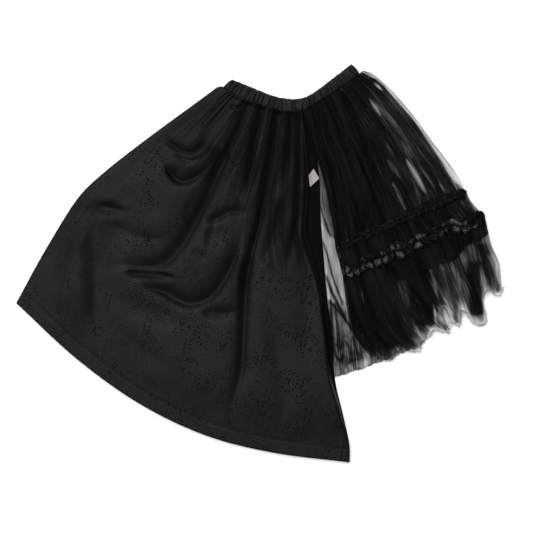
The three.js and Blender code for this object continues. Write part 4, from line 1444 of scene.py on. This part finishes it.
number = add(ruffle_tree, MATH, [staggered], operation="FLOOR")
which_puff = add(ruffle_tree, COMBINE, [number, apart])
chance = add(ruffle_tree, "ShaderNodeTexWhiteNoise", {"Vector": which_puff})

# %% Tree: gathered ruffle, how far up its cloth stands
# Low at the gather line and at the outer edge, with a full puff between them.
BUNCHED_FROM = (0.93, 0.965)  # shares of the length between which the end bunches up
CREASES = 5.0  # half waves of fine creasing over each puff
CREASE_DEPTH = 0.06

arch = add(ruffle_tree, MATH, [edge, math.pi], operation="MULTIPLY")
arched = add(ruffle_tree, MATH, [arch], operation="SINE")
puffed = add(ruffle_tree, MATH, [arched, 0.0], operation="MAXIMUM")
round_puff = add(ruffle_tree, MATH, [puffed, 0.7], operation="POWER")
puff = add(ruffle_tree, MATH, [round_puff, crest], operation="MULTIPLY")
size = add(ruffle_tree, MATH, [chance, 0.75, 0.4], operation="MULTIPLY_ADD")
sized = add(ruffle_tree, MATH, [puff, size], operation="MULTIPLY")
crease_at = add(ruffle_tree, MATH, [half_turns, CREASES], operation="MULTIPLY")
creases = add(ruffle_tree, MATH, [crease_at], operation="SINE")
inner = add(ruffle_tree, MATH, [1.0, edge], operation="SUBTRACT")
pleats = add(ruffle_tree, MATH, [creases, inner], operation="MULTIPLY")
full = add(ruffle_tree, MATH, [pleats, CREASE_DEPTH, sized], operation="MULTIPLY_ADD")
bunch = add(ruffle_tree, MAP_RANGE, {
    "Value": share, "From Min": BUNCHED_FROM[0], "From Max": BUNCHED_FROM[1],
    "To Min": 1.0, "To Max": given["Bunching"],
}, interpolation_type="SMOOTHSTEP")
risen = add(ruffle_tree, MATH, [given["Rise"], bunch], operation="MULTIPLY")
up = add(ruffle_tree, MATH, [full, risen], operation="MULTIPLY")

# %% Tree: gathered ruffle, how far out and along its cloth reaches
# The puffs reach further out than the creases between them, and each one leans a little over the
# crease beside it.
LEAN = 0.1  # share of the pitch
END_REACH = 0.028  # share of the length over which the strip rounds off

width = add(ruffle_tree, MATH, [noise, 1.3, 0.1], operation="MULTIPLY_ADD")
reach = add(ruffle_tree, MATH, [crest, 0.25, width], operation="MULTIPLY_ADD")
ended = add(ruffle_tree, MATH, [reach, round_ends(ruffle_tree, share, END_REACH)], operation="MULTIPLY")
bunched = add(ruffle_tree, MATH, [ended, bunch], operation="MULTIPLY")
wide = add(ruffle_tree, MATH, [bunched, side], operation="MULTIPLY")
out = add(ruffle_tree, MATH, [wide, given["Half Width"]], operation="MULTIPLY")
turns = add(ruffle_tree, MATH, [half_turns, 2.0], operation="MULTIPLY")
swing = add(ruffle_tree, MATH, [turns], operation="SINE")
leaning = add(ruffle_tree, MATH, [swing, edge], operation="MULTIPLY")
far = add(ruffle_tree, MATH, [leaning, given["Pitch"]], operation="MULTIPLY")
ahead = add(ruffle_tree, MATH, [far, LEAN], operation="MULTIPLY")

# %% Tree: gathered ruffle, its mark for the light and its place
# About half of the puffs face the light, and few in the tight bunch at the end.
facing_light = add(ruffle_tree, MAP_RANGE, {"Value": chance, "From Min": 0.05, "From Max": 0.5})
loose_end = add(ruffle_tree, MAP_RANGE, {
    "Value": share, "From Min": 0.92, "From Max": 0.95, "To Min": 1.0, "To Max": 0.25,
})
some = add(ruffle_tree, MATH, [facing_light, loose_end], operation="MULTIPLY")
puff_light = add(ruffle_tree, MATH, [puff, some], operation="MULTIPLY")
marked = add(ruffle_tree, "GeometryNodeStoreNamedAttribute", {
    "Geometry": flat, "Name": "puff_light", "Value": puff_light,
}, data_type="FLOAT", domain="POINT")

on_path = sample_path(ruffle_tree, given["Path"], share)
tangent = on_path.outputs["Tangent"]
sideways = add(ruffle_tree, VECTOR_MATH, [(0, 0, 1), tangent], operation="CROSS_PRODUCT")
moved_out = add(ruffle_tree, VECTOR_MATH, {0: sideways, 3: out}, operation="SCALE")
moved_ahead = add(ruffle_tree, VECTOR_MATH, {0: tangent, 3: ahead}, operation="SCALE")
raised = add(ruffle_tree, COMBINE, {"Z": up})
start = add(ruffle_tree, VECTOR_MATH, [on_path.outputs["Position"], moved_out], operation="ADD")
further = add(ruffle_tree, VECTOR_MATH, [start, moved_ahead], operation="ADD")
place = add(ruffle_tree, VECTOR_MATH, [further, raised], operation="ADD")
frilled = add(ruffle_tree, "GeometryNodeSetPosition", {"Geometry": marked, "Position": place})
finish_tree(ruffle_tree, frilled, given["Cloth"])

# %% The four ruffles
RUFFLE_FRONT_Z = 9.2 * MM
RUFFLE_BACK_Z = 0.3 * MM
UNEVENNESS = 3.2  # puffs by which the spacing wanders, at most
Ruffle = namedtuple("Ruffle", "node line underside half pitch rise crowded bunching seed cloth")
RUFFLES = [
    Ruffle("ruffle_upper_front", upper_line, RUFFLE_FRONT_Z, 9, 8, 3.5, 0.0, 1.25, 2.3, ruched_net),
    Ruffle("ruffle_lower_front", lower_line, RUFFLE_FRONT_Z, 17, 18, 9.0, 3.0, 1.25, 5.9, ruffle_satin),
    Ruffle("ruffle_upper_back", upper_line, RUFFLE_BACK_Z, 12, 10, 0.8, 0.0, 1.0, 7.7, ruched_net),
    Ruffle("ruffle_lower_back", lower_line, RUFFLE_BACK_Z, 13, 18, 0.8, 0.0, 1.0, 1.2, ruffle_satin),
]
for ruffle in RUFFLES:
    path = path_object(ruffle.node + "_path", ruffle.line, ruffle.underside)
    long_way = float(np.linalg.norm(np.diff(ruffle.line, axis=0), axis=1).sum())
    made = grow(
        ruffle.node + "_strip", ruffle_tree, Path=path, Length=long_way, Half_Width=ruffle.half * MM,
        Pitch=ruffle.pitch * MM, Rise=ruffle.rise * MM, Unevenness=UNEVENNESS, Crowded=ruffle.crowded,
        Bunching=ruffle.bunching, Seed=ruffle.seed, Cloth=ruffle.cloth,
    )
    dress(made, [ruffle.node])

# %% [markdown]
# ## Care label
#
# A folded piece of woven tape, sewn into the side seam, that pokes out between the satin and the
# net. The real one is printed. This one is left bare. It is a small sheet like the others, bent
# sharply along one line, so it needs no tree and no modifier but its thickness.

# %% Material: woven label tape
# A woven tape with faint ribs across it, coloured a warm mid grey. The real ribs are 0.3 mm apart, too fine
# to show, so they are drawn 1.2 mm apart.
RIB_MM = 1.2

label_tape, tree, skin = new_material("woven label tape", 0.6, 0.5)
tape_map = add(tree, "ShaderNodeUVMap", uv_map="UVMap")
rib = add(tree, "ShaderNodeTexWave", {
    "Vector": tape_map, "Scale": WAVE_SCALE / (RIB_MM * MM),
}, bands_direction="Y")
tone = add(tree, "ShaderNodeMix", {
    0: rib, TINT_A: linear("#8a8385"), TINT_B: linear("#a09a9b"),
}, data_type="RGBA")
fill(skin, {"Base Color": tone.outputs[TINT]})

# %% The label
LABEL_FOLD = 0.45  # share of its width at which the tape is folded
LABEL_STANDS = 9 * MM  # how steeply the two flaps rise from the fold, for the whole width
LABEL_Z = 5.6 * MM

u, v = grid(18, 24)
top = smooth_line([(102, 183), (112, 197)])
bottom = smooth_line([(105, 159), (124, 177)])
plan = patch(top, bottom, [], [])(u, v)
fold = LABEL_STANDS * np.abs(u - LABEL_FOLD) + 0.4 * MM * np.sin(5 * v + 2)
places = np.concatenate([plan, (LABEL_Z + fold)[..., None]], axis=-1)
care_label = cloth_sheet("care_label_tape", places, label_tape, None, 0.4 * MM)
dress(care_label, ["care_label"])

# %% [markdown]
# ## Stitches
#
# The hem is held by a line of machine stitches 28 mm above its edge. A stitch could be a bump in
# the satin's finish, but a raised one keeps its shape when it is seen from the side. One stitch is
# a short bead of thread. The tree spaces stitches along a path, drops each one onto the cloth and
# turns it to follow the line.

# %% Material: polyester thread
# Black polyester thread, spun and matt, so the stitches show only by their shape.
thread, _, skin = new_material("polyester thread", 0.8, 0.02)
fill(skin, {"Base Color": linear("#050506")})

# %% Tree: machine stitches
ABOVE_CLOTH = (0, 0, 0.2)  # metres, from where each stitch is dropped
DOWN = (0, 0, -1)

stitch_tree, given = geometry_tree(
    "machine stitches", Path="Object", Surface="Object", Spacing="Float", Length="Float", Radius="Float",
    Thread="Material",
)
path_info = add(stitch_tree, "GeometryNodeObjectInfo", {"Object": given["Path"]})
surface_info = add(stitch_tree, "GeometryNodeObjectInfo", {"Object": given["Surface"]})
spaced = add(stitch_tree, "GeometryNodeResampleCurve", {
    "Curve": path_info.outputs["Geometry"], "Length": given["Spacing"],
}, mode="LENGTH")
here = add(stitch_tree, "GeometryNodeInputPosition")
above = add(stitch_tree, VECTOR_MATH, [here, ABOVE_CLOTH], operation="ADD")
drop = add(stitch_tree, "GeometryNodeRaycast", {
    "Target Geometry": surface_info.outputs["Geometry"], "Source Position": above,
    "Ray Direction": DOWN, "Ray Length": 1.0,
})
landed = add(stitch_tree, "GeometryNodeSetPosition", {
    "Geometry": spaced, "Selection": drop.outputs["Is Hit"], "Position": drop.outputs["Hit Position"],
})
along_it = add(stitch_tree, "GeometryNodeInputTangent")
facing = add(stitch_tree, "FunctionNodeAlignRotationToVector", {"Vector": along_it}, axis="X")
bead = add(stitch_tree, "GeometryNodeMeshUVSphere", {"Segments": 6, "Rings": 4, "Radius": 1.0})
half_length = add(stitch_tree, MATH, [given["Length"], 0.5], operation="MULTIPLY")
bead_size = add(stitch_tree, COMBINE, [half_length, given["Radius"], given["Radius"]])
sewn = add(stitch_tree, "GeometryNodeInstanceOnPoints", {
    "Points": landed, "Instance": bead.outputs["Mesh"], "Rotation": facing, "Scale": bead_size,
})
finish_tree(stitch_tree, sewn, given["Thread"])

# %% The hem stitching
STITCH_ENDS = (0.012, 0.985)  # shares of the hemline between which it is stitched
STITCH_FACES = 24  # faces of one bead

hem_path = path_object("hem_stitch_path", stretch(beside(hemline, HEM_DEPTH), *STITCH_ENDS))
hem_stitches = grow(
    "hem_stitches", stitch_tree, Path=hem_path, Surface=jacquard_front, Spacing=3.6 * MM, Length=3.0 * MM,
    Radius=0.4 * MM, Thread=thread,
)
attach(hem_stitches, "root")
print("hem stitches:", len(hem_stitches.data.polygons) // STITCH_FACES)

# %% [markdown]
# ## Raw edge of the net
#
# Tulle doesn't fray, but a cut edge leaves short bristles of net wherever it crosses the holes.
# Hair particles could make them, but the export keeps only meshes. So a tree scatters thin tapering
# bristles along the hem, each with its own length and lean.

# %% Tree: bristles along a cut edge
LEAN_LEAST, LEAN_MOST = (-0.9, -0.9, -0.1), (0.9, 0.9, 0.15)
SHORTEST = 0.2  # share of the full length
FROM_NUMBER, TO_NUMBER, NUMBER = 2, 3, 1  # a Random Value node's inputs and output for a plain number

bristle_tree, given = geometry_tree(
    "cut edge bristles", Path="Object", Count="Int", Length="Float", Radius="Float", Seed="Int",
    Net="Material",
)
path_info = add(bristle_tree, "GeometryNodeObjectInfo", {"Object": given["Path"]})
spaced = add(bristle_tree, "GeometryNodeResampleCurve", {
    "Curve": path_info.outputs["Geometry"], "Count": given["Count"],
})
along_it = add(bristle_tree, "GeometryNodeInputTangent")
outward = add(bristle_tree, VECTOR_MATH, [along_it, (0, 0, 1)], operation="CROSS_PRODUCT")
stray = add(bristle_tree, "FunctionNodeRandomValue", {
    0: LEAN_LEAST, 1: LEAN_MOST, "Seed": given["Seed"],
}, data_type="FLOAT_VECTOR")
leaning = add(bristle_tree, VECTOR_MATH, [outward, stray.outputs[0]], operation="ADD")
facing = add(bristle_tree, "FunctionNodeAlignRotationToVector", {"Vector": leaning}, axis="Z")
bristle = add(bristle_tree, "GeometryNodeMeshCone", {
    "Vertices": 3, "Radius Top": 0.15, "Radius Bottom": 1.0, "Depth": 1.0,
})
how_long = add(bristle_tree, "FunctionNodeRandomValue", {
    FROM_NUMBER: SHORTEST, TO_NUMBER: 1.0, "Seed": given["Seed"],
})
length = add(bristle_tree, MATH, [how_long.outputs[NUMBER], given["Length"]], operation="MULTIPLY")
bristle_size = add(bristle_tree, COMBINE, [given["Radius"], given["Radius"], length])
scattered = add(bristle_tree, "GeometryNodeInstanceOnPoints", {
    "Points": spaced, "Instance": bristle.outputs["Mesh"], "Rotation": facing, "Scale": bristle_size,
})
finish_tree(bristle_tree, scattered, given["Net"])

# %% Bristles on the flounce
BRISTLES = 900
BRISTLE_Z = TULLE_FRONT_Z + 2 * MM

hem_edge = path_object("flounce_edge_path", smooth_line(FLOUNCE_TONGUES, BRISTLES), BRISTLE_Z)
bristles = grow(
    "flounce_bristles", bristle_tree, Path=hem_edge, Count=BRISTLES, Length=9 * MM, Radius=0.28 * MM,
    Seed=3, Net=ruched_net,
)
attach(bristles, "root")
print("bristles:", BRISTLES)

# %% [markdown]
# ## How a piece is cut
#
# A sheet of cloth has a flat size before it is sewn. Cut holds one piece's width, length, how it is held,
# what it lies on and its area, as a cutter would lay it out. The satin is nearly as large as it looks, and
# each ruffle is counted as it lies now.

Cut = namedtuple("Cut", "piece width length held lies_on area", defaults=(None,))

# %% Clear the paths away
for made in [o for o in scene.objects if o.type == "CURVE"]:
    bpy.data.objects.remove(made)
